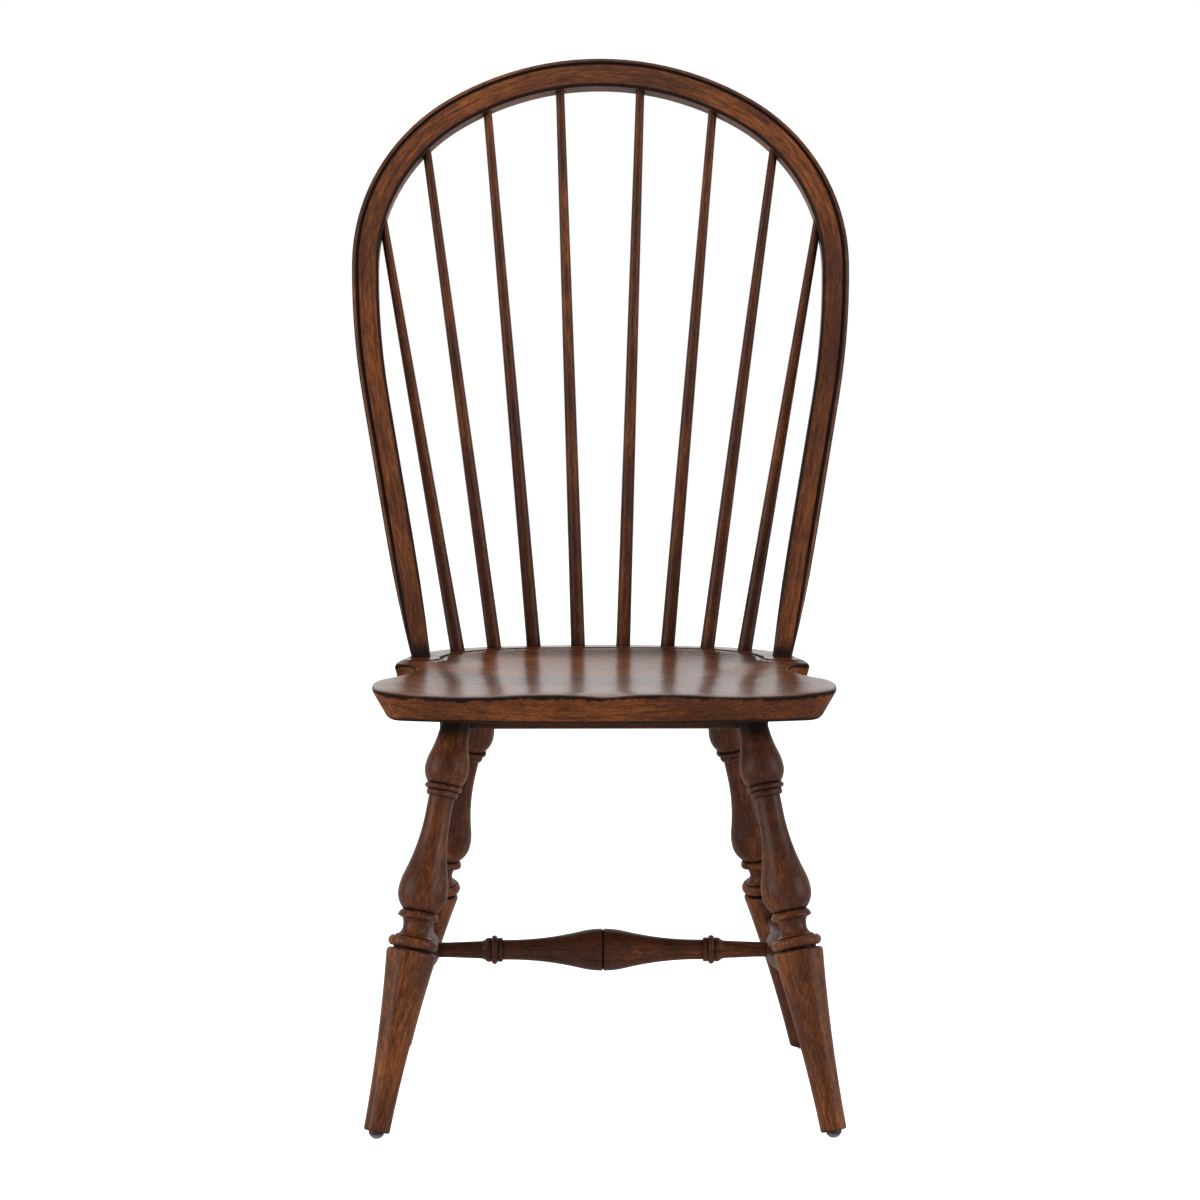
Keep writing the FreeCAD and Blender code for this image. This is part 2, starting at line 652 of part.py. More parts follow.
def make_seat():
    """The plank, its bevelled sides, its sockets and the saddle cut into it."""
    body = make_body("seat_plank")
    body.Placement = Placement(from_feet(0, 0, DECK), Rotation())
    top = make_sketch(body, "XY_Plane", "TopOutline")
    draw_runs(top, seat_outline(0, 0))
    lower = make_sketch(body, "XY_Plane", "LowerOutline")
    draw_runs(lower, seat_outline(size("seat_front_bevel"), size("seat_back_bevel")))
    bind(lower, **{"AttachmentOffset.Base.z": f"-{cell('seat_thickness')}"})
    plank = body.newObject("PartDesign::AdditiveLoft", "Plank")
    plank.Profile = top
    plank.Sections = [(lower, [""])]
    plank.Ruled = True
    doc.recompute()
    round_edges(body, "EarRound", ear_edges(body), cell("ear_round"))
    round_edges(body, "LowerRound", lower_edges(body), cell("seat_lower_round"))

    groove = make_sketch(body, "XY_Plane", "DeckLine")
    draw_runs(groove, groove_runs(size("deck_groove_width") / 2))
    line = body.newObject("PartDesign::Pocket", "DeckGroove")
    line.Profile = groove
    bind(line, Length=cell("deck_groove_depth"))

    for name, (foot, direction, _) in SPINDLES.items():
        start = foot - direction * (size("spindle_foot_depth") + size("end_gap"))
        depth = f"2 * {cell('spindle_foot_depth')}"
        drill_at(body, name + "_socket", start, direction, depth, f"{cell('spindle_foot_radius')} + {GAP}")
    for side in SIDES:
        foot, direction = bow_foot(side)
        start = foot - direction * (size("bow_tenon_length") + size("end_gap"))
        depth = f"2 * {cell('bow_tenon_length')}"
        drill_at(body, f"{side}_bow_socket", start, direction, depth, f"{cell('bow_tenon_radius')} + {GAP}")
        for end in ("front", "rear"):
            top_point, down = leg_line(end, side)
            start = top_point - down * (size("leg_tenon_length") + size("end_gap"))
            depth = f"2 * {cell('leg_tenon_length')}"
            radius = f"{cell('leg_top_radius')} + {GAP}"
            drill_at(body, f"{end}_{side}_leg_socket", start, down, depth, radius)
    for number, place in enumerate(screw_places(), start=1):
        depth = f"{cell('screw_length')} + {cell('end_gap')}"
        radius = f"{cell('screw_radius')} + {cell('screw_gap')}"
        drill_at(body, f"screw_hole_{number}", place, Vector(0, 0, 1), depth, radius)

    seat = doc.addObject("Part::Cut", "seat")
    seat.Base = body
    seat.Tool = make_saddle_cutter()
    seat.Label = "seat"
    return seat


def round_edges(body, name, edges, radius):
    """Rounds the named edges of the body's last feature."""
    last = body.Tip
    rounding = body.newObject("PartDesign::Fillet", name)
    rounding.Base = (last, edges)
    bind(rounding, Radius=radius)
    doc.recompute()


def edge_names(shape, wanted):
    return [f"Edge{number}" for number, edge in enumerate(shape.Edges, start=1) if wanted(edge)]


def lower_edges(body):
    level = -size("seat_thickness")
    return edge_names(body.Tip.Shape, lambda edge: abs(edge.BoundBox.ZMax - level) < 1e-3)


def ear_edges(body):
    """The upright edges at the tips of the ears."""
    tip = size("ear_across")

    def stands_at_tip(edge):
        box = edge.BoundBox
        upright = box.ZLength > size("seat_thickness") / 2
        at_notch = abs(box.Center.y - size("notch_along")) < 2 * size("notch_radius")
        return upright and at_notch and abs(abs(box.Center.x) - tip) < size("seat_back_bevel")

    return edge_names(body.Tip.Shape, stands_at_tip)


# Bow, drawn in its own leaning plane: X across and Z up the slope from the deck


def bow_placement():
    foot = from_feet(0, size("bow_along"), DECK)
    return Placement(foot, Rotation(Vector(1, 0, 0), -size("bow_lean")))


def bow_arcs():
    """Centres and outer radii of crown, right shoulder and right side, with where each ends.

    An angle is taken from straight up, clockwise, and each arc is tangent to the next.
    """
    half_width = size("bow_half_width")
    top_radius = size("bow_top_radius")
    shoulder_radius = size("bow_shoulder_radius")
    crown = Vector(0, 0, size("bow_length") - top_radius)
    crown_end = math.asin((half_width - shoulder_radius) / (top_radius - shoulder_radius))
    out_of_crown = Vector(math.sin(crown_end), 0, math.cos(crown_end))
    shoulder = crown + out_of_crown * (top_radius - shoulder_radius)

    # The straight sides, drawn on, meet the bow's full width half way round the bend
    bend = size("bow_side_bend")
    side_turn = math.atan((half_width - size("bow_foot_spread")) / (shoulder.z - bend))
    side_radius = bend / math.tan(side_turn / 2)
    side = Vector(half_width - side_radius, 0, shoulder.z)
    return [
        (crown, top_radius, crown_end),
        (shoulder, shoulder_radius, math.pi / 2),
        (side, side_radius, math.pi / 2 + side_turn),
    ]


def bow_run_down():
    """Direction of the bow's straight side, towards the deck."""
    side_end = bow_arcs()[-1][2]
    return Vector(math.cos(side_end), 0, -math.sin(side_end))


def bow_point(arc, inset, turn):
    centre, radius, _ = arc
    return centre + Vector(math.sin(turn), 0, math.cos(turn)) * (radius - inset)


def bow_edge(inset, end_height, drop=0):
    """The right half of a line that follows the bow at an inset from its outer edge.

    It runs from the top down to a height, as arcs of three points and a line of two. A drop
    sets the whole line lower, so that it leaves more of the face at the top.
    """
    crown, shoulder, side = bow_arcs()
    turns = (0, crown[2], shoulder[2], side[2])
    lowered = Vector(0, 0, -drop)
    runs = []
    for arc, first, last in zip((crown, shoulder, side), turns, turns[1:]):
        middle = (first + last) / 2
        runs.append([bow_point(arc, inset, turn) + lowered for turn in (first, middle, last)])
    start = runs[-1][-1]
    down = bow_run_down()
    runs.append([start, start + down * ((end_height - start.z) / down.z)])
    return runs


def foot_run(start, down, across):
    """An arc that leaves a point along a direction and reaches the deck at a place across.

    A straight end then carries it a little below the deck, where it is trimmed.
    """
    end = Vector(across, 0, 0)
    chord = end - start
    off = Vector(down.z, 0, -down.x)
    sideways = chord.dot(off)
    radius = chord.dot(chord) / (2 * sideways)
    centre = start + off * radius
    out = start - centre + end - centre
    out.normalize()
    middle = centre + out * abs(radius)
    end_off = centre - end
    tangent = Vector(end_off.z, 0, -end_off.x)
    tangent.normalize()
    if tangent.z > 0:
        tangent = -tangent
    below = end + tangent * (size("bow_thickness") / 2)
    return [[start, middle, end], [end, below]]


def in_sketch(runs):
    """The runs as a sketch on the body's XZ plane takes them."""
    return [[Vector(point.x, point.z, 0) for point in run] for run in runs]


def whole_line(half):
    """A line from one foot to the other, from its right half that starts at the top."""
    crown = half[0]
    top = [mirrored(crown[-1]), crown[0], crown[-1]]
    left = [[mirrored(point) for point in reversed(run)] for run in reversed(half[1:])]
    return [*left, top, *half[1:]]


def bow_outline():
    down = bow_run_down()
    half_foot = size("bow_foot_face") / 2
    lines = []
    for inset, drop, turn in ((0, 0, 1), (size("bow_face"), size("bow_crown_extra"), -1)):
        runs = bow_edge(inset, size("bow_foot_taper"), drop)
        across = size("bow_foot_across") + turn * half_foot
        runs += foot_run(runs[-1][-1], down, across)
        lines.append(whole_line(in_sketch(runs)))
    return closed_band(*lines)


def bow_line_outline():
    lines = []
    for inset in (size("bow_line_inset"), size("bow_line_inset") + size("bow_line_width")):
        lines.append(whole_line(in_sketch(bow_edge(inset, size("bow_line_end")))))
    return closed_band(*lines)


def bow_foot(side):
    """Middle of a foot of the bow on the deck, and its direction up, in the chair's frame."""
    placement = bow_placement()
    turn = SIDES[side]
    up = -bow_run_down()
    foot = Vector(turn * size("bow_foot_across"), 0, 0)
    direction = Vector(turn * up.x, 0, up.z)
    return placement.multVec(foot), placement.Rotation.multVec(direction)


def bow_inner_point(across):
    """The place on the bow's inner edge, in the middle of its thickness, in the chair's frame."""
    crown, shoulder, _ = bow_arcs()
    face = size("bow_face")
    on_crown = abs(across) < bow_point(crown, face, crown[2]).x
    centre, radius, _ = crown if on_crown else shoulder
    height = centre.z + math.sqrt((radius - face) ** 2 - (abs(across) - centre.x) ** 2)
    return bow_placement().multVec(Vector(across, 0, height - size("bow_crown_extra")))


# Spindles: each one's name, its middle on the deck, its direction up and its free length


def spindle_lines():
    lines = {}
    inwards = ("outer", "third", "second", "inner")
    places = [(-1, name) for name in inwards] + [(1, name) for name in reversed(inwards)]
    inner_half_width = size("bow_half_width") - size("bow_face")
    for number, (turn, name) in enumerate(places, start=1):
        across = turn * size(f"{name}_spindle_across")
        foot = from_feet(across, size(f"{name}_spindle_along"), DECK)
        top = bow_inner_point(turn * size(f"{name}_spindle_top") * inner_half_width)
        direction = (top - foot).normalize()
        lines[f"spindle_{number}"] = (foot, direction, foot.distanceToPoint(top))
    return lines


SPINDLES = spindle_lines()


def make_bow():
    """The bent hoop with its scribed line, its two tenons and the sockets for the spindles."""
    body = make_body("bow")
    body.Placement = bow_placement()
    outline = make_sketch(body, "XZ_Plane", "HoopOutline")
    draw_runs(outline, bow_outline())
    hoop = body.newObject("PartDesign::Pad", "Hoop")
    hoop.Profile = outline
    hoop.SideType = "Symmetric"
    bind(hoop, Length=cell("bow_thickness"))
    doc.recompute()
    round_edges(body, "FrontRound", face_edges(body, -1), cell("bow_front_round"))
    round_edges(body, "BackRound", face_edges(body, 1), cell("bow_back_round"))

    # The feet are trimmed level with the deck, and a round tenon goes on below each
    trim = body.newObject("PartDesign::SubtractiveBox", "DeckTrim")
    bind(trim, Length=f"2 * {cell('bow_half_width')}")
    bind(trim, Width=f"4 * {cell('bow_thickness')}")
    bind(trim, Height=cell("bow_thickness"))
    corner = Vector(-size("bow_half_width"), -2 * size("bow_thickness"), -size("bow_thickness"))
    level = body.Placement.Rotation.inverted()
    trim.Placement = Placement(level.multVec(corner), level)
    for side in SIDES:
        foot, up = bow_foot(side)
        start = foot - up * size("bow_tenon_length")
        tenon = body.newObject("PartDesign::AdditiveCylinder", f"{side}_tenon")
        bind(tenon, Radius=cell("bow_tenon_radius"))
        bind(tenon, Height=f"{cell('bow_tenon_length')} + {cell('bow_thickness')} / 2")
        tenon.Placement = body.Placement.inverse() * Placement(start, Rotation(Vector(0, 0, 1), up))

    line_sketch = make_sketch(body, "XZ_Plane", "LineOutline")
    draw_runs(line_sketch, bow_line_outline())
    bind(line_sketch, **{"AttachmentOffset.Base.z": f"{cell('bow_thickness')} / 2"})
    line = body.newObject("PartDesign::Pocket", "ScribedLine")
    line.Profile = line_sketch
    bind(line, Length=cell("bow_line_depth"))
    for name, (foot, direction, length) in SPINDLES.items():
        depth = f"2 * {cell('spindle_top_depth')}"
        start = foot + direction * (length + size("spindle_top_depth") + size("end_gap"))
        drill_at(body, name + "_socket", start, -direction, depth, f"{cell('spindle_top_radius')} + {GAP}")
    return body


def face_edges(body, side):
    """The long edges on the bow's front face, where side is -1, or on its back face."""
    level = side * size("bow_thickness") / 2
    lowest = -size("bow_thickness") / 4

    def runs_along(edge):
        box = edge.BoundBox
        on_face = abs(box.YMin - level) < 1e-3 and abs(box.YMax - level) < 1e-3
        return on_face and box.ZMax > lowest

    return edge_names(body.Tip.Shape, runs_along)


def make_spindle(name):
    """A spindle that tapers evenly from the deck to the bow, with a plain tenon at each end."""
    foot, direction, length = SPINDLES[name]
    body = make_body(name)
    body.Placement = Placement(foot, Rotation(Vector(0, 0, 1), direction))
    turning = Turning(body, cell("spindle_foot_radius"), "-" + cell("spindle_foot_depth"))
    turning.to(cell("spindle_foot_radius"), "0")
    turning.to(cell("spindle_top_radius"), str(length))
    turning.to(cell("spindle_top_radius"), f"{length} + {cell('spindle_top_depth')}")
    turning.revolve()
    return body


# Legs, glides and nails, whose stations are distances down from the underside of the seat


def glide_ball_radius():
    dome = size("glide_dome")
    return (size("glide_radius") ** 2 + dome**2) / (2 * dome)


def leg_length(end):
    """Length of a leg below the seat that leaves its glide standing on the floor."""
    _, down = leg_line(end, "right")
    ball = glide_ball_radius()
    ball_below_foot = size("glide_rim") + size("glide_dome") - ball
    foot_height = ball - size("glide_flat") - ball_below_foot * down.z
    return (UNDERSIDE - foot_height) / -down.z


def make_leg(end, side):
    """A double-vase leg with collars, a cove, a thick ring and a hollow taper to its foot."""
    top, down = leg_line(end, side)
    length = leg_length(end)
    body = make_body(f"{end}_{side}_leg")
    body.Placement = Placement(top, Rotation(Vector(0, 0, 1), down))

    # Top and upper vase
    turning = Turning(body, cell("leg_top_radius"), "-" + cell("leg_tenon_length"))
    turning.to(cell("leg_top_radius"), cell("leg_top_length"))
    turning.ogee(cell("leg_vase_radius"), cell("leg_vase_at"), cell("leg_vase_round"))
    turning.round_off(cell("leg_collar_waist"), cell("leg_collar_at"))

    # Upper collar, with a small bead under it, and the neck
    collar_end = f"({cell('leg_collar_at')} + {cell('leg_collar_width')})"
    step_end = f"({collar_end} + {cell('leg_fillet_width')})"
    collar_bend = level_bend(
        f"{cell('leg_collar_radius')} - {cell('leg_collar_waist')}", f"{cell('leg_collar_width')} / 2"
    )
    turning.arc(cell("leg_collar_waist"), collar_end, collar_bend)
    turning.bead(cell("leg_fillet_radius"), collar_end, step_end, cell("leg_fillet_waist"))
    turning.to(cell("leg_neck_radius"), step_end)
    turning.to(cell("leg_neck_radius"), cell("leg_neck_end"))

    # Lower vase and its collar
    turning.ogee(cell("leg_belly_radius"), cell("leg_belly_at"), cell("leg_belly_round"))
    turning.round_off(cell("leg_disc_waist"), cell("leg_disc_at"))
    lip_end = f"({cell('leg_disc_lip_at')} + {cell('leg_disc_lip')})"
    turning.to(cell("leg_disc_edge"), cell("leg_disc_at"))
    turning.arc(cell("leg_disc_radius"), cell("leg_disc_lip_at"), cell("leg_disc_bend"))
    turning.to(cell("leg_disc_radius"), lip_end)

    # Cove, narrow groove, thick ring and the groove under it
    turning.to(cell("leg_cove_upper"), cell("leg_disc_end"))
    turning.cove(cell("leg_cove_radius"), cell("leg_cove_lower"), cell("leg_cove_end"))
    ring_start = f"({cell('leg_cove_end')} + {cell('leg_quirk_width')})"
    ring_end = f"({ring_start} + {cell('leg_torus_width')})"
    turning.to(cell("leg_quirk_radius"), cell("leg_cove_end"))
    turning.to(cell("leg_quirk_radius"), ring_start)
    turning.bead(cell("leg_torus_radius"), ring_start, ring_end, cell("leg_torus_waist"))
    groove_end = f"({ring_end} + {cell('leg_groove_width')})"
    turning.to(cell("leg_groove_radius"), ring_end)
    turning.to(cell("leg_groove_radius"), groove_end)

    # Shoulder and the hollow taper to the rounded foot
    shoulder_edge = f"({cell('leg_shoulder_radius')} - {cell('leg_shoulder_round')})"
    shoulder_end = f"({groove_end} + {cell('leg_shoulder_round')})"
    turning.to(shoulder_edge, groove_end)
    turning.arc(cell("leg_shoulder_radius"), shoulder_end, cell("leg_shoulder_round"))
    taper_end = f"({length} - {cell('leg_foot_round')})"
    run = f"({taper_end} - {shoulder_end})"
    step = f"({cell('leg_shoulder_radius')} - {cell('leg_foot_radius')})"
    hollow = cell("leg_foot_hollow")
    side_bend = f"(({run}^2 + {step}^2) / 4 + {hollow}^2) / (2 * {hollow})"
    turning.arc(cell("leg_foot_radius"), taper_end, side_bend, hollow=True)
    foot_edge = f"({cell('leg_foot_radius')} - {cell('leg_foot_round')})"
    turning.arc(foot_edge, str(length), cell("leg_foot_round"))
    turning.revolve()

    ends = side_stretcher_ends(side)
    here, there = ends if end == "front" else reversed(ends)
    inwards = (there - here).normalize()
    start = here + inwards * (size("side_tip_gap") - size("end_gap"))
    depth = f"2 * {cell('leg_shoulder_radius')}"
    drill_at(body, "stretcher_socket", start, inwards, depth, f"{cell('stretcher_end_radius')} + {GAP}")
    nail_depth = f"{cell('nail_length')} + {cell('end_gap')}"
    nail_radius = f"{cell('nail_radius')} + {cell('nail_gap')}"
    drill(body, "nail_hole", Vector(0, 0, length), Vector(0, 0, -1), nail_depth, nail_radius)
    return body


def foot_placement(end, side):
    """Middle of the foot's end, with Z on along the leg."""
    top, down = leg_line(end, side)
    return Placement(top + down * leg_length(end), Rotation(Vector(0, 0, 1), down))


def make_glide(end, side):
    """A domed glide with the nail's head moulded in, worn flat where it stands on the floor."""
    body = make_body(f"{end}_{side}_glide")
    body.Placement = foot_placement(end, side)
    turning = Turning(body, cell("glide_radius"), "0")
    turning.to(cell("glide_radius"), cell("glide_rim"))
    ball = level_bend(cell("glide_dome"), cell("glide_radius"))
    turning.arc("0", f"{cell('glide_rim')} + {cell('glide_dome')}", ball)
    turning.revolve()

    floor = body.newObject("PartDesign::SubtractiveBox", "FloorTrim")
    for side_length in ("Length", "Width", "Height"):
        bind(floor, **{side_length: f"4 * {cell('glide_radius')}"})
    reach = size("glide_radius") * 2
    corner = Vector(body.Placement.Base.x - reach, body.Placement.Base.y - reach, -2 * reach)
    floor.Placement = body.Placement.inverse() * Placement(corner, Rotation())

    down = Vector(0, 0, 1)
    hole_radius = f"{cell('nail_radius')} + {cell('nail_gap')}"
    drill(body, "nail_hole", Vector(), down, cell("nail_head_at"), hole_radius)
    seat_radius = f"{cell('nail_head_radius')} + {cell('nail_gap')}"
    seat_depth = f"{cell('nail_head_thickness')} + 2 * {cell('nail_gap')}"
    start = Vector(0, 0, size("nail_head_at") - size("nail_gap"))
    drill(body, "nail_head_seat", start, down, seat_depth, seat_radius)
    return body


def make_nail(end, side):
    body = make_body(f"{end}_{side}_nail")
    body.Placement = foot_placement(end, side)
    point = f"({cell('nail_length')} - 3 * {cell('nail_radius')})"
    turning = Turning(body, f"{cell('nail_radius')} / 5", "-" + cell("nail_length"))
    turning.to(cell("nail_radius"), "-" + point)
    turning.to(cell("nail_radius"), cell("nail_head_at"))
    turning.to(cell("nail_head_radius"), cell("nail_head_at"))
    head_end = f"{cell('nail_head_at')} + {cell('nail_head_thickness')}"
    turning.to(cell("nail_head_radius"), head_end)
    turning.revolve()
    return body


# Stretchers, whose stations are distances out from their middle


def make_swelling(turning, belly, bend, neck):
    """The swelling of a stretcher, from the line turned round its middle to where it ends."""
    turning.to(belly, f"{cell('stretcher_line_width')} / 2")
    turning.ogee(neck, cell("stretcher_neck_at"), bend)


def make_side_stretcher(side):
    """A swelling rail from front leg to rear leg."""
    front, rear = side_stretcher_ends(side)
    body = make_body(f"{side}_side_stretcher")
    backwards = rear - front
    body.Placement = Placement((front + rear) / 2, Rotation(Vector(0, 0, 1), backwards))
    tip = backwards.Length / 2 - size("side_tip_gap")
    leg_reach = f"({cell('leg_shoulder_radius')} + {cell('stretcher_plain_length')})"
    turning = Turning(body, f"{cell('side_belly_radius')} - {cell('stretcher_line_depth')}", "0")
    make_swelling(turning, cell("side_belly_radius"), cell("side_belly_round"), cell("side_neck_radius"))
    turning.to(cell("stretcher_end_radius"), f"{tip} - {leg_reach}")
    turning.to(cell("stretcher_end_radius"), str(tip))
    turning.mirror().revolve()

    inwards = Vector(-SIDES[side], 0, 0)
    start = Vector(SIDES[side] * centre_stretcher_tip(), body.Placement.Base.y, body.Placement.Base.z)
    start -= inwards * size("end_gap")
    depth = f"2 * {cell('side_belly_radius')}"
    drill_at(body, "stretcher_socket", start, inwards, depth, f"{cell('stretcher_end_radius')} + {GAP}")
    return body


def centre_stretcher_tip():
    """How far the tip of the centre stretcher is from the middle of the chair."""
    front, rear = side_stretcher_ends("right")
    surface = (front.x + rear.x) / 2 - size("side_belly_radius")
    return surface + size("centre_tenon_depth")


def make_centre_stretcher():
    """A swelling rail with a bead, a ring and a bead on each side, between the side stretchers."""
    front, rear = side_stretcher_ends("right")
    body = make_body("centre_stretcher")
    middle = Vector(0, (front.y + rear.y) / 2, size("stretcher_height"))
    body.Placement = Placement(middle, Rotation(Vector(0, 0, 1), Vector(1, 0, 0)))
    tip = centre_stretcher_tip()
    plain_from = f"{tip} - {cell('centre_tenon_depth')} - {cell('stretcher_plain_length')}"
    turning = Turning(body, f"{cell('centre_belly_radius')} - {cell('stretcher_line_depth')}", "0")
    make_swelling(
        turning, cell("centre_belly_radius"), cell("centre_belly_round"), cell("centre_neck_radius")
    )
    ring_start = f"({cell('centre_ring_at')} - {cell('centre_ring_width')} / 2)"
    ring_end = f"({cell('centre_ring_at')} + {cell('centre_ring_width')} / 2)"
    group_start = f"({ring_start} - {cell('centre_bead_width')})"
    group_end = f"({ring_end} + {cell('centre_bead_width')})"
    turning.to(cell("centre_neck_radius"), group_start)
    turning.bead(cell("centre_bead_radius"), group_start, ring_start, cell("centre_bead_waist"))
    turning.bead(cell("centre_ring_radius"), ring_start, ring_end, cell("centre_ring_edge"))
    turning.bead(cell("centre_bead_radius"), ring_end, group_end, cell("centre_bead_waist"))
    flare_end = f"({group_end} + {cell('centre_flare_length')})"
    flare_rise = f"({cell('centre_bead_waist')} - {cell('centre_taper_radius')})"
    flare_bend = level_bend(flare_rise, cell("centre_flare_length"))
    turning.arc(cell("centre_taper_radius"), flare_end, flare_bend, hollow=True)
    turning.to(cell("stretcher_end_radius"), plain_from)
    turning.to(cell("stretcher_end_radius"), str(tip))
    turning.mirror().revolve()
    return body


# Batten under the seat and its screws


def screw_places():
    """Where the screws' heads lie flush with the underside of the batten."""
    along = size("batten_front") + size("batten_width") / 2
    outwards = (size("screw_inner_across"), size("screw_outer_across"))
    across = [-outwards[1], -outwards[0], *outwards]
    return [from_feet(place, along, UNDERSIDE - size("batten_thickness")) for place in across]


def make_batten():
    body = make_body("seat_batten")
    corner = from_feet(
        -size("batten_length") / 2, size("batten_front"), UNDERSIDE - size("batten_thickness")
    )
    body.Placement = Placement(corner, Rotation())
    strip = body.newObject("PartDesign::AdditiveBox", "Strip")
    bind(strip, Length=cell("batten_length"), Width=cell("batten_width"))
    bind(strip, Height=cell("batten_thickness"))
    doc.recompute()
    lower = edge_names(body.Tip.Shape, lambda edge: edge.BoundBox.ZMax < 1e-3)
    round_edges(body, "LowerRound", lower, cell("batten_round"))
    upwards = Vector(0, 0, 1)
    for number, place in enumerate(screw_places(), start=1):
        radius = f"{cell('screw_radius')} + {cell('screw_gap')}"
        drill_at(body, f"screw_hole_{number}", place, upwards, cell("screw_length"), radius)
        countersink = body.newObject("PartDesign::SubtractiveCone", f"countersink_{number}")
        bind(countersink, Radius1=f"{cell('screw_head_radius')} + {cell('screw_gap')}")
        bind(countersink, Radius2=radius, Height=cell("screw_head_depth"))
        countersink.Placement = Placement(body.Placement.inverse().multVec(place), Rotation())
    return body


def make_screw(number, place):
    """A countersunk wood screw with a slot, its head down."""
    body = make_body(f"batten_screw_{number}")
    body.Placement = Placement(place, Rotation())
    turning = Turning(body, cell("screw_head_radius"), "0")
    turning.to(cell("screw_radius"), cell("screw_head_depth"))
    turning.to(cell("screw_radius"), f"{cell('screw_length')} - {cell('screw_point_length')}")
    turning.to(f"{cell('screw_radius')} / 5", cell("screw_length"))
    turning.revolve()
    slot = body.newObject("PartDesign::SubtractiveBox", "Slot")
    bind(slot, Length=f"2 * {cell('screw_head_radius')}", Width=cell("screw_slot_width"))
    bind(slot, Height=cell("screw_slot_depth"))
    corner = Vector(-size("screw_head_radius"), -size("screw_slot_width") / 2, 0)
    slot.Placement = Placement(corner, Rotation())
    return body


def group(label, bodies):
    """Separate solids of one kind, as one node."""
    compound = doc.addObject("Part::Compound", label)
    compound.Links = bodies
    compound.Label = label
    return compound


def make_chair():
    """Every node of the chair, each as one object of the document."""
    corners = [(end, side) for end in ("front", "rear") for side in SIDES]
    screws = [make_screw(*numbered) for numbered in enumerate(screw_places(), start=1)]
    nails = [make_nail(*corner) for corner in corners]
    return [
        make_seat(),
        make_bow(),
        *[make_spindle(name) for name in SPINDLES],
        *[make_leg(*corner) for corner in corners],
        *[make_side_stretcher(side) for side in SIDES],
        make_centre_stretcher(),
        make_batten(),
        group("batten_screws", screws),
        *[make_glide(*corner) for corner in corners],
        group("glide_nails", nails),
    ]


def check(parts):
    """Stops before anything is written if an object of the document did not build."""
    for item in doc.Objects:
        if "Invalid" in item.State or "Error" in item.State:
            raise RuntimeError(f"{item.Label} did not build: {item.State}")
    for part in parts:
        if part.Shape.isNull() or not part.Shape.isValid():
            raise RuntimeError(f"{part.Label} has no valid shape")


chair = make_chair()
doc.recompute()
check(chair)
os.makedirs("parts", exist_ok=True)
for part in chair:
    part.Shape.exportStep(f"parts/{part.Label}.step")
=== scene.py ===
import bmesh
import bpy
import math
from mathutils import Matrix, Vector
from mathutils.geometry import delaunay_2d_cdt
from mathutils.kdtree import KDTree


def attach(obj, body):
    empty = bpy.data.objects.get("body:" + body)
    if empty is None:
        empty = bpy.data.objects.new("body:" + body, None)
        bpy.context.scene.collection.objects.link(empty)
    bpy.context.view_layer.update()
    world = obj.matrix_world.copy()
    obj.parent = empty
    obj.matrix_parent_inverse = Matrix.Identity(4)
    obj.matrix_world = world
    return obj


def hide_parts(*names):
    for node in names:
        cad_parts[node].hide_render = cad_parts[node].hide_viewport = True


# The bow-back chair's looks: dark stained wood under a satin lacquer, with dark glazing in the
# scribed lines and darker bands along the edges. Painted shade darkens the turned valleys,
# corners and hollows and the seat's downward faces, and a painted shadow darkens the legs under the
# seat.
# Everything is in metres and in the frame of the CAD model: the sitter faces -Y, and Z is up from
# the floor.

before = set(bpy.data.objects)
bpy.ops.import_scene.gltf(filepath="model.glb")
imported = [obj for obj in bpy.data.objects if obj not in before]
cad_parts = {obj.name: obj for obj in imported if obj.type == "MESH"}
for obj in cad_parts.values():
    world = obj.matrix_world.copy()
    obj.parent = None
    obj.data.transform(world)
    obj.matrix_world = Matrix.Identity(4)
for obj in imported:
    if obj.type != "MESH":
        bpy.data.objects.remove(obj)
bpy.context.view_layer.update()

MM = 0.001
DECK_Z = 0.450
UNDERSIDE_Z = 0.414
CORNERS = ("front_left", "front_right", "rear_left", "rear_right")


# Shader helpers


class Wire:
    """A socket of a finish's node tree. Arithmetic on it adds Math nodes."""

    def __init__(self, finish, socket):
        self.finish = finish
        self.socket = socket

    def math(self, operation, *others):
        inputs = dict(enumerate((self, *others)))
        return self.finish.node("Math", inputs, {"operation": operation})

    def __add__(self, other):
        return self.math("ADD", other)

    def __sub__(self, other):
        return self.math("SUBTRACT", other)

    def __mul__(self, other):
        return self.math("MULTIPLY", other)

    def __radd__(self, other):
        return self + other

    def __rmul__(self, other):
        return self * other

    def __rsub__(self, other):
        return self * -1 + other

    def size(self):
        return self.math("ABSOLUTE")

    def root(self):
        return self.math("SQRT")

    def most(self, other):
        return self.math("MAXIMUM", other)

    def rise(self, low, high, bottom=0.0, top=1.0):
        """Bottom at low, top at high, and a smooth climb between them, whichever is larger."""
        inputs = {"Value": self, "From Min": low, "From Max": high, "To Min": bottom, "To Max": top}
        return self.finish.node("MapRange", inputs, {"interpolation_type": "SMOOTHSTEP"})

    def band(self, low, high, soft):
        """1 between low and high, with soft edges."""
        return self.rise(low - soft, low + soft) * self.rise(high + soft, high - soft)


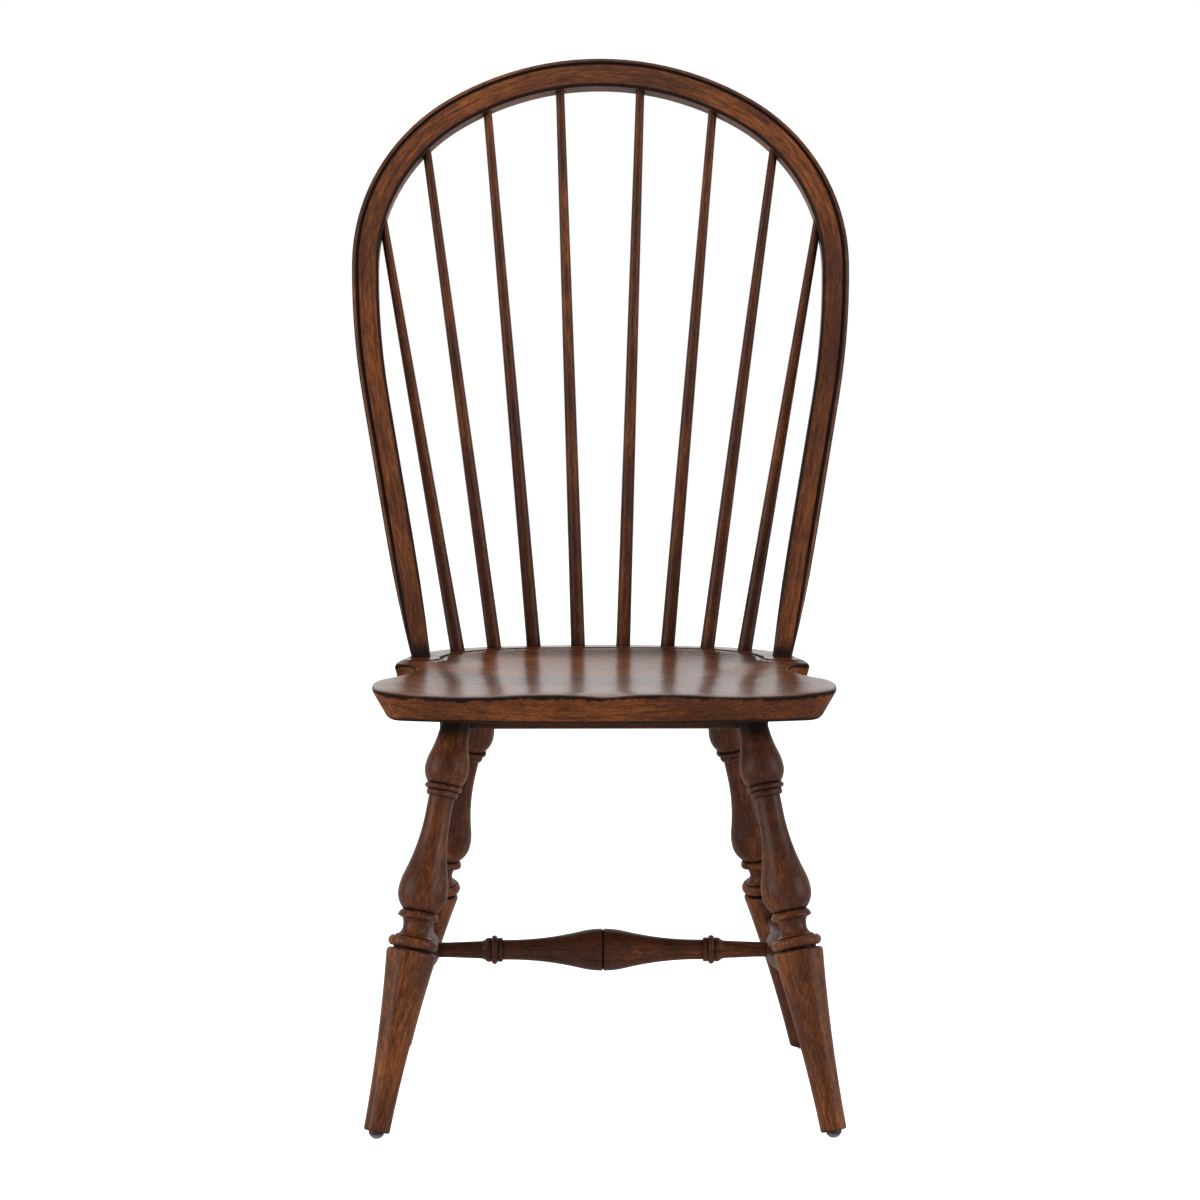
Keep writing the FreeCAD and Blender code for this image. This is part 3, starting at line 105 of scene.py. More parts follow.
class Finish:
    """A new material, or the world, built from procedural nodes."""

    def __init__(self, owner):
        self.owner = owner
        owner.use_nodes = True
        self.tree = owner.node_tree
        self.tree.nodes.clear()

    def node(self, kind, inputs=None, settings=None, output=0):
        """Adds a node of that kind: settings first, then values or wires into its sockets."""
        node = self.tree.nodes.new("ShaderNode" + kind)
        for name, value in (settings or {}).items():
            setattr(node, name, value)
        for name, value in (inputs or {}).items():
            if isinstance(value, Wire):
                self.tree.links.new(value.socket, node.inputs[name])
            else:
                node.inputs[name].default_value = value
        return Wire(self, node.outputs[output] if node.outputs else None)

    def parts(self, vector):
        """The three coordinates of a vector."""
        return [self.node("SeparateXYZ", {0: vector}, output=number) for number in range(3)]

    def join(self, x, y, z):
        return self.node("CombineXYZ", {0: x, 1: y, 2: z})

    def noise(self, place, scale, detail=2.0, roughness=0.5, distortion=0.0):
        """Soft noise from 0 to 1 over a place, with that many waves to the metre."""
        inputs = {"Vector": place, "Scale": scale, "Detail": detail}
        inputs |= {"Roughness": roughness, "Distortion": distortion}
        return self.node("TexNoise", inputs)

    def grain(self, place, stretch, scale, detail=2.0, roughness=0.5, distortion=0.0):
        """Noise drawn out along the grain: the smaller the stretch, the longer its streaks."""
        long = self.node("VectorMath", {0: place, 1: (1, 1, stretch)}, {"operation": "MULTIPLY"})
        return self.noise(long, scale, detail, roughness, distortion)

    def mix(self, first, second, share):
        """Mixes two colours by a share from 0 to 1."""
        return self.node("Mix", {0: share, 6: first, 7: second}, {"data_type": "RGBA"}, output=2)

    def openness(self, distance, inside=False):
        """1 in the open and less in corners of that size, or inside, where the wood has an edge."""
        settings = {"samples": 6, "inside": inside}
        return self.node("AmbientOcclusion", {"Distance": distance}, settings, output=1)

    def object_place(self):
        """Place in the chair's frame."""
        return self.node("TexCoord", output=3)

    def seen(self):
        """1 where the camera looks straight at it, and 0 for light and reflections."""
        return self.node("LightPath", output=0)

    def show(self, shader):
        self.node("OutputMaterial", {"Surface": shader})
        return self.owner


def new_finish(name):
    return Finish(bpy.data.materials.new(name))


def off_centre(across, along, centre_across, centre_along):
    """How far a place in a plane lies from a centre, as a wire."""
    sideways = across - centre_across
    lengthwise = along - centre_along
    return (sideways * sideways + lengthwise * lengthwise).root()


def paint(piece, material):
    """Gives a piece one material all over."""
    piece.data.materials.clear()
    piece.data.materials.append(material)


# Stained wood

UMBER = (0.027, 0.0105, 0.0085, 1)
WALNUT = (0.092, 0.0265, 0.0100, 1)
AMBER = (0.290, 0.087, 0.020, 1)
GLAZE_AND_SHADE = (0.0095, 0.0060, 0.0053, 1)
WOOD_SHEEN = 0.06
BUMP_DEPTH = 0.25 * MM


def stained(
    finish, place, tone, gloss, darkening=None, corner_shade=1.0, lacquer=0.26, satin=0.36, relief=0.4
):
    """Wood whose grain runs along the place's third coordinate, stained, glazed and rubbed back.

    Tone makes a piece darker or lighter. The wire after gloss darkens the wood where it is 1, with
    glazing in the scribed lines, glazing and painted shade on the seat, and a painted shadow on the
    legs under the seat. The share after it sets how much painted shade darkens corners and hollows,
    with some real glazing in the finest ones. Lacquer sets how much lacquer is left on the open
    faces, satin how rough that is, and relief how deep the grain stands.
    """
    figure = finish.grain(place, stretch=0.22, scale=20, detail=3, roughness=0.55, distortion=0.5)
    patches = finish.grain(place, stretch=0.45, scale=60, detail=3, roughness=0.6, distortion=0.4)
    mottle = finish.grain(place, stretch=0.35, scale=150, detail=3, roughness=0.65, distortion=0.3)
    streaks = finish.grain(place, stretch=0.05, scale=330, detail=3, roughness=0.6, distortion=0.2)
    fibres = finish.grain(place, stretch=0.09, scale=800, roughness=0.6)
    pores = finish.grain(place, stretch=0.10, scale=1200, detail=1).rise(0.54, 0.66)

    # The weights add up so that evenly grey noise gives about the tone
    warmth = figure * 0.9 + patches * 0.45 + mottle * 0.3 + fibres * 0.9 + streaks * 1.1
    warmth = warmth - 1.83 + tone
    colour = finish.mix(UMBER, WALNUT, warmth.rise(0.02, 0.45))
    colour = finish.mix(colour, AMBER, warmth.rise(0.42, 1.02))
    smudges = mottle.rise(0.52, 0.70) * patches.rise(0.60, 0.40)
    dark_streaks = streaks.rise(0.50, 0.66) * figure.rise(0.60, 0.44)
    colour = finish.mix(colour, UMBER, smudges.most(dark_streaks) * 0.72)
    colour = finish.mix(colour, GLAZE_AND_SHADE, pores * 0.45)

    # Painted shade darkens corners and hollows, with some real glazing in the finest corners, and
    # sharp edges are paler, partly rubbed wear and partly a painted highlight
    ragged = finish.noise(place, 160, 3) * 0.5 - 0.25
    corner = ((1 - finish.openness(4 * MM)) * 1.4 + ragged * 0.5).rise(0.14, 0.62)
    hollow = ((1 - finish.openness(18 * MM)) * 1.1 + ragged * 0.8).rise(0.12, 0.66)
    dark = (corner * 0.95).most(hollow * 0.80) * corner_shade
    if darkening:
        frayed = darkening + ragged * 0.8 * (darkening * (1 - darkening) * 4)
        dark = dark.most(frayed.rise(0.15, 0.85) * 0.95)
    edge = (1 - finish.openness(2.2 * MM, inside=True)).rise(0.25, 0.8)
    colour = finish.mix(colour, AMBER, edge * patches.rise(0.35, 0.6) * 0.22)
    colour = finish.mix(colour, GLAZE_AND_SHADE, dark)

    height = fibres * 0.5 - pores * 0.6 + finish.noise(place, 45) * 1.2
    bump = finish.node("Bump", {"Strength": relief, "Distance": BUMP_DEPTH, "Height": height})
    rough = gloss + fibres * 0.10 + pores * 0.12 + dark * 0.08
    inputs = {"Base Color": colour, "Roughness": rough, "Normal": bump}
    inputs |= {"Specular IOR Level": WOOD_SHEEN, "Coat Roughness": satin}
    inputs |= {"Coat Weight": (1 - dark * 0.85) * lacquer}
    return finish.node("BsdfPrincipled", inputs)


def grain_place(finish, origin, along, seed):
    """Place on a piece with Z along its grain, moved so that no two pieces look the same."""
    turn = Vector(along).to_track_quat("Z", "Y").to_euler()
    inputs = {"Vector": finish.object_place(), "Location": tuple(origin), "Rotation": tuple(turn)}
    place = finish.node("Mapping", inputs, {"vector_type": "TEXTURE"})
    moved = (0.37 * seed, 0.21 * seed, 0.53 * seed)
    return finish.node("VectorMath", {0: place, 1: moved}, {"operation": "ADD"})


# Turned pieces, each with straight grain from end to end

TURNED_GLOSS = 0.33
SPINDLE_TONE = 0.48
LEG_TONE = 0.42
FOOT_PALER = 0.18
STRETCHER_TONE = 0.40
BATTEN_TONE = 0.42
SPINDLE_GLAZE_REACH = 0.045
LEG_SHADOW_REACH = 0.036
FOOT_TOP_Z = 0.250
FOOT_PALE_Z = 0.190


def axis_of(node):
    """Lowest end of a slender node and the direction from there to its other end."""
    points = [vertex.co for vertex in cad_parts[node].data.vertices]
    middle = sum(points, Vector()) / len(points)
    far = max(points, key=lambda point: (point - middle).length)
    other = max(points, key=lambda point: (point - far).length)
    low, high = sorted((far, other), key=lambda point: point.z)
    return low, (high - low).normalized()


def turned_finish(node, seed):
    """A new finish for a turned piece, its place along the grain and its height from the floor."""
    finish = new_finish(node + "_wood")
    low, along = axis_of(node)
    place = grain_place(finish, low, along, seed)
    return finish, place, finish.parts(finish.object_place())[2]


def finish_spindle(number):
    """A dark spindle, darker still where it enters the deck."""
    node = f"spindle_{number}"
    finish, place, height = turned_finish(node, 2.0 + number)
    darkening = height.rise(DECK_Z + SPINDLE_GLAZE_REACH, DECK_Z - SPINDLE_GLAZE_REACH) * 0.9
    wood = stained(finish, place, SPINDLE_TONE, TURNED_GLOSS, darkening)
    paint(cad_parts[node], finish.show(wood))


def finish_leg(number, corner):
    """A leg darkened by a painted shadow under the seat, and a paler, tapered foot."""
    node = corner + "_leg"
    finish, place, height = turned_finish(node, 12.0 + number)
    # Painted shadow of the seat: the leg darkens towards the seat's underside
    full = UNDERSIDE_Z - 0.2 * LEG_SHADOW_REACH
    darkening = height.rise(UNDERSIDE_Z - LEG_SHADOW_REACH, full) * 0.76
    tone = height.rise(FOOT_TOP_Z, FOOT_PALE_Z) * FOOT_PALER + LEG_TONE
    wood = stained(finish, place, tone, TURNED_GLOSS, darkening)
    paint(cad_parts[node], finish.show(wood))


def finish_rail(node, seed, tone):
    """A stretcher or the batten."""
    finish, place, _ = turned_finish(node, seed)
    wood = stained(finish, place, tone, TURNED_GLOSS)
    paint(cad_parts[node], finish.show(wood))


# The bow's own coordinates: X across and Z up its slope from the deck, as its outline was drawn

BOW_FOOT = Vector((0, 0.0825, 0.450))
BOW_LEAN = math.radians(15)
BOW_LENGTH = 0.6662
BOW_HALF_WIDTH = 0.2722
BOW_TOP_RADIUS = 0.322
BOW_SHOULDER_RADIUS = 0.218
BOW_SIDE_BEND = 0.0757
BOW_FOOT_SPREAD = 0.2105
BOW_FACE = 0.029
BOW_CROWN_EXTRA = 0.0025
BOW_THICKNESS = 0.026
BOW_LINE = (0.0038, 0.0074)
BOW_GRAIN_BEND_UP = 0.4330
BOW_GRAIN_RADIUS = 0.25
BOW_TONE = 0.61
BOW_GLOSS = 0.38


def bow_inset(finish, across, up):
    """How far a place on the bow lies inside its outer edge: crown, shoulder, side and foot."""
    crown_up = BOW_LENGTH - BOW_TOP_RADIUS
    reach = BOW_TOP_RADIUS - BOW_SHOULDER_RADIUS
    crown_across = BOW_HALF_WIDTH - BOW_SHOULDER_RADIUS
    shoulder_up = crown_up + math.sqrt(reach**2 - crown_across**2)
    turn = math.atan((BOW_HALF_WIDTH - BOW_FOOT_SPREAD) / (shoulder_up - BOW_SIDE_BEND))
    side_radius = BOW_SIDE_BEND / math.tan(turn / 2)
    straight_up = shoulder_up - side_radius * math.sin(turn)

    crown = BOW_TOP_RADIUS - off_centre(across, up, 0, crown_up)
    shoulder = BOW_SHOULDER_RADIUS - off_centre(across, up, crown_across, shoulder_up)
    side = side_radius - off_centre(across, up, BOW_HALF_WIDTH - side_radius, shoulder_up)
    straight = (up * math.tan(turn) + BOW_FOOT_SPREAD - across) * math.cos(turn)
    past_crown = across * (shoulder_up - crown_up) - (up - crown_up) * crown_across
    inset = crown + (shoulder - crown) * past_crown.math("GREATER_THAN", 0)
    inset = inset + (side - inset) * up.math("LESS_THAN", shoulder_up)
    return inset + (straight - inset) * up.math("LESS_THAN", straight_up)


def finish_bow():
    """Grain bent round with the hoop, dark glazing along the scribed line, and darker along the
    edges and at the foot.
    """
    finish = new_finish("bow_wood")
    x, y, z = finish.parts(finish.object_place())
    back = y - BOW_FOOT.y
    rise = z - BOW_FOOT.z
    up = back * math.sin(BOW_LEAN) + rise * math.cos(BOW_LEAN)
    deep = back * math.cos(BOW_LEAN) - rise * math.sin(BOW_LEAN)
    across = x.size()
    inset = bow_inset(finish, across, up)

    # Length along the hoop: straight up the sides, then round an even bend
    over = (up - BOW_GRAIN_BEND_UP).most(0)
    angle = across.math("ARCTAN2", over + 0.0001)
    length = (angle * BOW_GRAIN_RADIUS + (BOW_GRAIN_BEND_UP - up).most(0)) * x.math("SIGN")
    place = finish.join(inset + 0.31, deep, length)

    front = -BOW_THICKNESS / 2
    line = inset.band(*BOW_LINE, 0.5 * MM)
    inner_edge = bow_inset(finish, across, up + BOW_CROWN_EXTRA)
    inner = inner_edge.rise(BOW_FACE - 5.5 * MM, BOW_FACE - 1.2 * MM)
    outer = inset.rise(2.4 * MM, 0.6 * MM)
    foot = up.rise(30 * MM, -10 * MM)
    on_front = deep.rise(front + 5.0 * MM, front + 2.4 * MM)
    darkening = (line.most(inner * 0.85).most(outer * 0.8) * on_front).most(foot)
    wood = stained(finish, place, BOW_TONE, BOW_GLOSS, darkening, lacquer=0.50)
    paint(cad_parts["bow"], finish.show(wood))


# Seat, as a finer mesh over the CAD model's plank and saddle. Here the saddle's front edge rises
# 2.4 mm more, the scribed line is 0.2 mm deeper, the top rolls over and is rounded at its rim, and
# the lower front edge is rounder. Lengths are taken from the feet's middle.

FEET_MIDDLE_Y = -0.0380
SEAT_FRONT = 0.218
SEAT_FRONT_RADIUS = 0.760
SEAT_CORNER_RADIUS = 0.038
SEAT_HALF_WIDTH = 0.2375
SEAT_WIDEST_ALONG = -0.115
NOTCH = Vector((0.2135, 0.045))
NOTCH_RADIUS = 0.015
EAR_HALF_WIDTH = 0.222
EAR_ANGLE = math.radians(10)
EAR_SOFTENING = 5
SEAT_BACK = 0.248
SEAT_BACK_RADIUS = 0.400
SEAT_BACK_CORNER_RADIUS = 0.130
FRONT_BEVEL = 0.018
BACK_BEVEL = 0.006
RIM_ROUND = 0.0034
RIM_ROLL = 0.0012
RIM_ROLL_WIDTH = 0.032
FRONT_LOWER_ROUND = 0.012
BACK_LOWER_ROUND = 0.004
ROUND_STEPS = 8
SEAT_GRID = 0.005
SEAT_GRID_STEPS = 60
BELOW_RIM = "below_rim"

SADDLE_DEPTH = 13 * MM
SADDLE_SLOPE = 0.110
SADDLE_SIDE_REACH = 0.245
FRONT_RISE = 6.8 * MM
POMMEL_RISE = 3.4 * MM
POMMEL_HALF_WIDTH = 0.105
FRONT_DIP = 2.8 * MM
FRONT_DIP_HALF_WIDTH = 0.024
FRONT_DIP_REACH = 0.030
SADDLE_BACK_RADIUS = 0.650
SADDLE_BACK_CENTRE = Vector((0, 0.2075 - SADDLE_BACK_RADIUS))
SADDLE_CORNER_RADIUS = 0.110
SADDLE_HALF_WIDTH = 0.172
SADDLE_EAR_TURN = 0.020
SADDLE_CORNER_ACROSS = SADDLE_HALF_WIDTH - SADDLE_CORNER_RADIUS
SADDLE_CORNER_REACH = SADDLE_BACK_RADIUS - SADDLE_CORNER_RADIUS
SADDLE_CORNER_BEHIND = math.sqrt(SADDLE_CORNER_REACH**2 - SADDLE_CORNER_ACROSS**2)
SADDLE_CORNER = Vector((SADDLE_CORNER_ACROSS, SADDLE_BACK_CENTRE.y + SADDLE_CORNER_BEHIND))
LINE_HALF_WIDTH = 0.0012
LINE_DEPTH = 0.0014


def heading(start, end):
    """Direction from one place to another, in radians from +X."""
    return math.atan2(end.y - start.y, end.x - start.x)


def arc_points(centre, radius, first, last, count):
    """Points along an arc, without its last one."""
    points = []
    for step in range(count):
        angle = first + (last - first) * step / count
        points.append(centre + radius * Vector((math.cos(angle), math.sin(angle))))
    return points


def circles_meet(first, first_radius, second, second_radius):
    """The place furthest right where two circles meet."""
    apart = second - first
    along = (first_radius**2 - second_radius**2 + apart.length_squared) / (2 * apart.length)
    off = math.sqrt(first_radius**2 - along**2)
    apart.normalize()
    across = Vector((apart.y, -apart.x))
    meetings = [first + apart * along + across * turn for turn in (-off, off)]
    return max(meetings, key=lambda place: place.x)


def line_meets_circle(start, direction, centre, radius):
    """The second place where a line meets a circle."""
    offset = start - centre
    slide = offset.dot(direction)
    return start + direction * (math.sqrt(slide**2 - offset.length_squared + radius**2) - slide)


def mirrored(point):
    return Vector((-point.x, point.y))


def seat_outline(front_inset, back_inset):
    """Points round the seat in plan, drawn in by an inset, always as many in the same order.

    They start in the middle of the front edge and go round by the right.
    """
    front_centre = Vector((0, SEAT_FRONT_RADIUS - SEAT_FRONT))
    front_radius = SEAT_FRONT_RADIUS - front_inset
    corner_radius = SEAT_CORNER_RADIUS - front_inset
    half_width = SEAT_HALF_WIDTH - front_inset
    notch_radius = NOTCH_RADIUS + back_inset
    beside = NOTCH.x - half_width
    behind = NOTCH.y - SEAT_WIDEST_ALONG
    lobe_radius = (beside**2 + behind**2 - notch_radius**2) / (2 * (notch_radius - beside))
    lobe = Vector((half_width - lobe_radius, SEAT_WIDEST_ALONG))
    lobe_angle = heading(lobe, NOTCH)
    front_reach = front_radius - corner_radius
    corner = circles_meet(front_centre, front_reach, lobe, lobe_radius - corner_radius)
    front_angle = heading(front_centre, corner)
    corner_angle = heading(lobe, corner)

    ear_reach = EAR_HALF_WIDTH - NOTCH.x
    ear_tip = Vector((EAR_HALF_WIDTH, NOTCH.y + math.sqrt(NOTCH_RADIUS**2 - ear_reach**2)))
    along_ear = Vector((-math.sin(EAR_ANGLE), math.cos(EAR_ANGLE)))
    off_ear = Vector((math.cos(EAR_ANGLE), math.sin(EAR_ANGLE)))
    back_centre = Vector((0, SEAT_BACK - SEAT_BACK_RADIUS))
    back_radius = SEAT_BACK_RADIUS - back_inset
    back_corner_radius = SEAT_BACK_CORNER_RADIUS - back_inset
    beside_ear = ear_tip - off_ear * SEAT_BACK_CORNER_RADIUS
    back_reach = back_radius - back_corner_radius
    back_corner = line_meets_circle(beside_ear, along_ear, back_centre, back_reach)
    back_angle = heading(back_centre, back_corner)
    tip = line_meets_circle(ear_tip - off_ear * back_inset, along_ear, NOTCH, notch_radius)
    ear_end = back_corner + back_corner_radius * off_ear

    right = arc_points(front_centre, front_radius, -math.pi / 2, front_angle, 60)
    right += arc_points(corner, corner_radius, front_angle, corner_angle, 24)
    right += arc_points(lobe, lobe_radius, corner_angle, lobe_angle, 70)
    notch_end = heading(NOTCH, tip) - 2 * math.pi
    right += arc_points(NOTCH, notch_radius, lobe_angle - math.pi, notch_end, 36)
    ear_corner = len(right)
    right += [tip.lerp(ear_end, step / 18) for step in range(18)]
    right += arc_points(back_corner, back_corner_radius, EAR_ANGLE, back_angle, 50)
    right += arc_points(back_centre, back_radius, back_angle, math.pi / 2, 40)
    right.append(Vector((0, back_centre.y + back_radius)))
    for spread in range(1, EAR_SOFTENING + 1):
        for number in range(ear_corner - spread, ear_corner + spread + 1):
            right[number] = (right[number - 1] + right[number] * 2 + right[number + 1]) / 4
    return right + [mirrored(point) for point in reversed(right[1:-1])]


def inside_deck_line(point):
    """How far a place on the seat lies inside the line between saddle and deck."""
    place = Vector((abs(point.x), point.y))
    if place.y > SADDLE_CORNER.y and place.x < SADDLE_HALF_WIDTH:
        if heading(SADDLE_CORNER, place) < heading(SADDLE_BACK_CENTRE, SADDLE_CORNER):
            return SADDLE_CORNER_RADIUS - (place - SADDLE_CORNER).length
        return SADDLE_BACK_RADIUS - (place - SADDLE_BACK_CENTRE).length
    beside = max(0, SADDLE_HALF_WIDTH + SADDLE_EAR_TURN - place.x)
    before = max(0, SADDLE_CORNER.y - place.y)
    return math.hypot(beside, before) - SADDLE_EAR_TURN


def hollowed(distance):
    """Share of the saddle's full depth at a distance inside its edge."""
    inside = min(1, distance / SADDLE_SLOPE)
    return 1 - (1 - inside) ** 2.5


def ease(share):
    """0 at 0 and 1 at 1, level at both ends."""
    share = min(1, max(0, share))
    return share**2 * (3 - 2 * share)


def hump(place, half_width, power=2):
    """1 in its middle, and falling off past its half width."""
    return math.exp(-(abs(place / half_width) ** power))


def rim_finder():
    """A finder of the nearest point of the seat's outline."""
    outline = seat_outline(0, 0)
    finder = KDTree(len(outline))
    for number, place in enumerate(outline):
        finder.insert((*place, 0), number)
    finder.balance()
    return finder


RIM = rim_finder()


def seat_top(point):
    """Height of the seat's top over a place in plan: the saddle, the deck, the line and the rim.

    The saddle is shallower towards the front, with a pommel in its middle and a dip in the front
    edge there. Towards the rim the top rolls over a little, as on a worn seat.
    """
    forward = min(1, max(0, -point.y / SEAT_FRONT))
    rise = FRONT_RISE * forward**2
    pommel = POMMEL_RISE * hump(point.x, POMMEL_HALF_WIDTH, 6) * ease(forward / 0.6)
    dip = FRONT_DIP * hump(point.x, FRONT_DIP_HALF_WIDTH)
    dip *= hump(point.y + SEAT_FRONT, FRONT_DIP_REACH)
    full = SADDLE_DEPTH - rise - pommel + dip
    inside = inside_deck_line(point)
    depth = full * hollowed(inside) * hollowed(SADDLE_SIDE_REACH - abs(point.x))
    line = LINE_DEPTH * (abs(inside) < LINE_HALF_WIDTH)
    from_rim = RIM.find((*point[:2], 0))[2]
    roll = RIM_ROLL * max(0, 1 - from_rim / RIM_ROLL_WIDTH) ** 2
    return DECK_Z - max(0, depth) - line - roll


def deck_line(offset):
    """Points along the line between saddle and deck, at an offset towards the deck."""
    corner_angle = heading(SADDLE_BACK_CENTRE, SADDLE_CORNER)
    turn_centre = Vector((SADDLE_HALF_WIDTH + SADDLE_EAR_TURN, SADDLE_CORNER.y))
    back_radius = SADDLE_BACK_RADIUS + offset
    right = arc_points(SADDLE_BACK_CENTRE, back_radius, math.pi / 2, corner_angle, 30)
    right += arc_points(SADDLE_CORNER, SADDLE_CORNER_RADIUS + offset, corner_angle, 0, 70)
    turned = SADDLE_EAR_TURN - offset
    right += arc_points(turn_centre, turned, math.pi, 1.5 * math.pi, 16)
    end = turn_centre + Vector((0, -turned))
    right += [end + Vector((2.5 * MM * step, 0)) for step in range(12)]
    return [mirrored(point) for point in reversed(right[1:])] + right


def inside_ring(point, ring):
    """Whether a place lies inside a closed ring of points."""
    inside = False
    for start, end in zip(ring, ring[1:] + ring[:1]):
        if (start.y > point.y) != (end.y > point.y):
            crossing = start.x + (end.x - start.x) * (point.y - start.y) / (end.y - start.y)
            inside ^= point.x < crossing
    return inside


def rim_column(start, end):
    """Places from the top of the rim, round it, down the side and round to the underside."""
    thickness = DECK_Z - UNDERSIDE_Z
    run = (end - start).length
    inwards = (end - start) / run
    lean = math.atan(run / thickness)
    share = (run - BACK_BEVEL) / (FRONT_BEVEL - BACK_BEVEL)
    low_round = BACK_LOWER_ROUND + (FRONT_LOWER_ROUND - BACK_LOWER_ROUND) * min(1, max(0, share))
    rim = start + inwards * ((DECK_Z - seat_top(start + inwards * 4 * MM)) * math.tan(lean))
    tangent = RIM_ROUND * math.tan((math.pi / 2 + lean) / 2)
    proud = tangent - RIM_ROUND
    column = []
    for step in range(ROUND_STEPS + 1):
        angle = (math.pi / 2 + lean) * step / ROUND_STEPS
        place = rim + inwards * (tangent - proud * ease(angle) - RIM_ROUND * math.sin(angle))
        drop = RIM_ROUND * (1 - math.cos(angle))
        column.append((*place, seat_top(place) - drop))
    centre = low_round * math.cos(lean)
    centre += (thickness - low_round + low_round * math.sin(lean)) * math.tan(lean)
    for step in range(ROUND_STEPS + 1):
        angle = math.pi / 2 + lean + (math.pi / 2 - lean) * step / ROUND_STEPS
        place = start + inwards * (centre - low_round * math.sin(angle))
        column.append((*place, UNDERSIDE_Z + low_round * (1 + math.cos(angle))))
    return column


def top_places(edge):
    """Places for the net over the seat's top: its edge, a grid, and rows along the deck line."""
    places = list(edge)
    kept_clear = [place * 0.985 for place in edge]
    steps = range(-SEAT_GRID_STEPS, SEAT_GRID_STEPS + 1)
    for along in steps:
        for across in steps:
            place = Vector((across, along)) * SEAT_GRID
            off_line = abs(inside_deck_line(place)) > 1.8 * LINE_HALF_WIDTH
            if off_line and inside_ring(place, kept_clear):
                places.append(place)
    for offset in (-1.6, -0.98, 0, 0.98, 1.6):
        line = deck_line(offset * LINE_HALF_WIDTH)
        places += [place for place in line if inside_ring(place, kept_clear)]
    return places


def make_seat():
    """The seat's mesh: its rim and side as rings, and its top as a fine net between them."""
    upper_edge = seat_outline(0, 0)
    lower_edge = seat_outline(FRONT_BEVEL, BACK_BEVEL)
    rings = list(zip(*(rim_column(start, end) for start, end in zip(upper_edge, lower_edge))))
    mesh = bmesh.new()
    shift = Vector((0, FEET_MIDDLE_Y, 0))
    below_rim = mesh.verts.layers.float.new(BELOW_RIM)
    loops = [[mesh.verts.new(Vector(place) + shift) for place in ring] for ring in rings]
    for loop in loops:
        for top, corner in zip(loops[0], loop):
            corner[below_rim] = top.co.z - corner.co.z
    for upper, lower in zip(loops, loops[1:]):
        for number in range(len(upper)):
            before = number - 1
            mesh.faces.new((upper[before], lower[before], lower[number], upper[number]))
    mesh.faces.new(reversed(loops[-1]))

    edge = [Vector(place[:2]) for place in rings[0]]
    ring_edges = [(number, (number + 1) % len(edge)) for number in range(len(edge))]
    net, _, faces, origins, *_ = delaunay_2d_cdt(top_places(edge), ring_edges, [], 1, 1e-6)
    tops = []
    for place, origin in zip(net, origins):
        on_edge = [number for number in origin if number < len(edge)]
        if on_edge:
            tops.append(loops[0][on_edge[0]])
        else:
            tops.append(mesh.verts.new(Vector((*place, seat_top(place))) + shift))
    for face in faces:
        corners = [tops[number] for number in face]
        if len(set(corners)) == 3:
            mesh.faces.new(corners)
    bmesh.ops.recalc_face_normals(mesh, faces=mesh.faces)

    data = bpy.data.meshes.new("seat_worn")
    mesh.to_mesh(data)
    mesh.free()
    for polygon in data.polygons:
        polygon.use_smooth = True
    seat = bpy.data.objects.new("seat_worn", data)
    bpy.context.scene.collection.objects.link(seat)
    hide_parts("seat")
    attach(seat, "root")
    return seat


def deck_line_inset(across, along):
    """How far a place on the seat lies inside the line between saddle and deck, as a wire."""
    back_y = SADDLE_BACK_CENTRE.y
    corner_x, corner_y = SADDLE_CORNER
    turn_x = SADDLE_HALF_WIDTH + SADDLE_EAR_TURN

    back = SADDLE_BACK_RADIUS - off_centre(across, along, 0, back_y)
    corner = SADDLE_CORNER_RADIUS - off_centre(across, along, corner_x, corner_y)
    turn = off_centre(across, along, turn_x, corner_y) - SADDLE_EAR_TURN
    past_back = across * (corner_y - back_y) - (along - back_y) * corner_x
    inset = back + (corner - back) * past_back.math("GREATER_THAN", 0)
    return inset + (turn - inset) * along.math("LESS_THAN", corner_y)


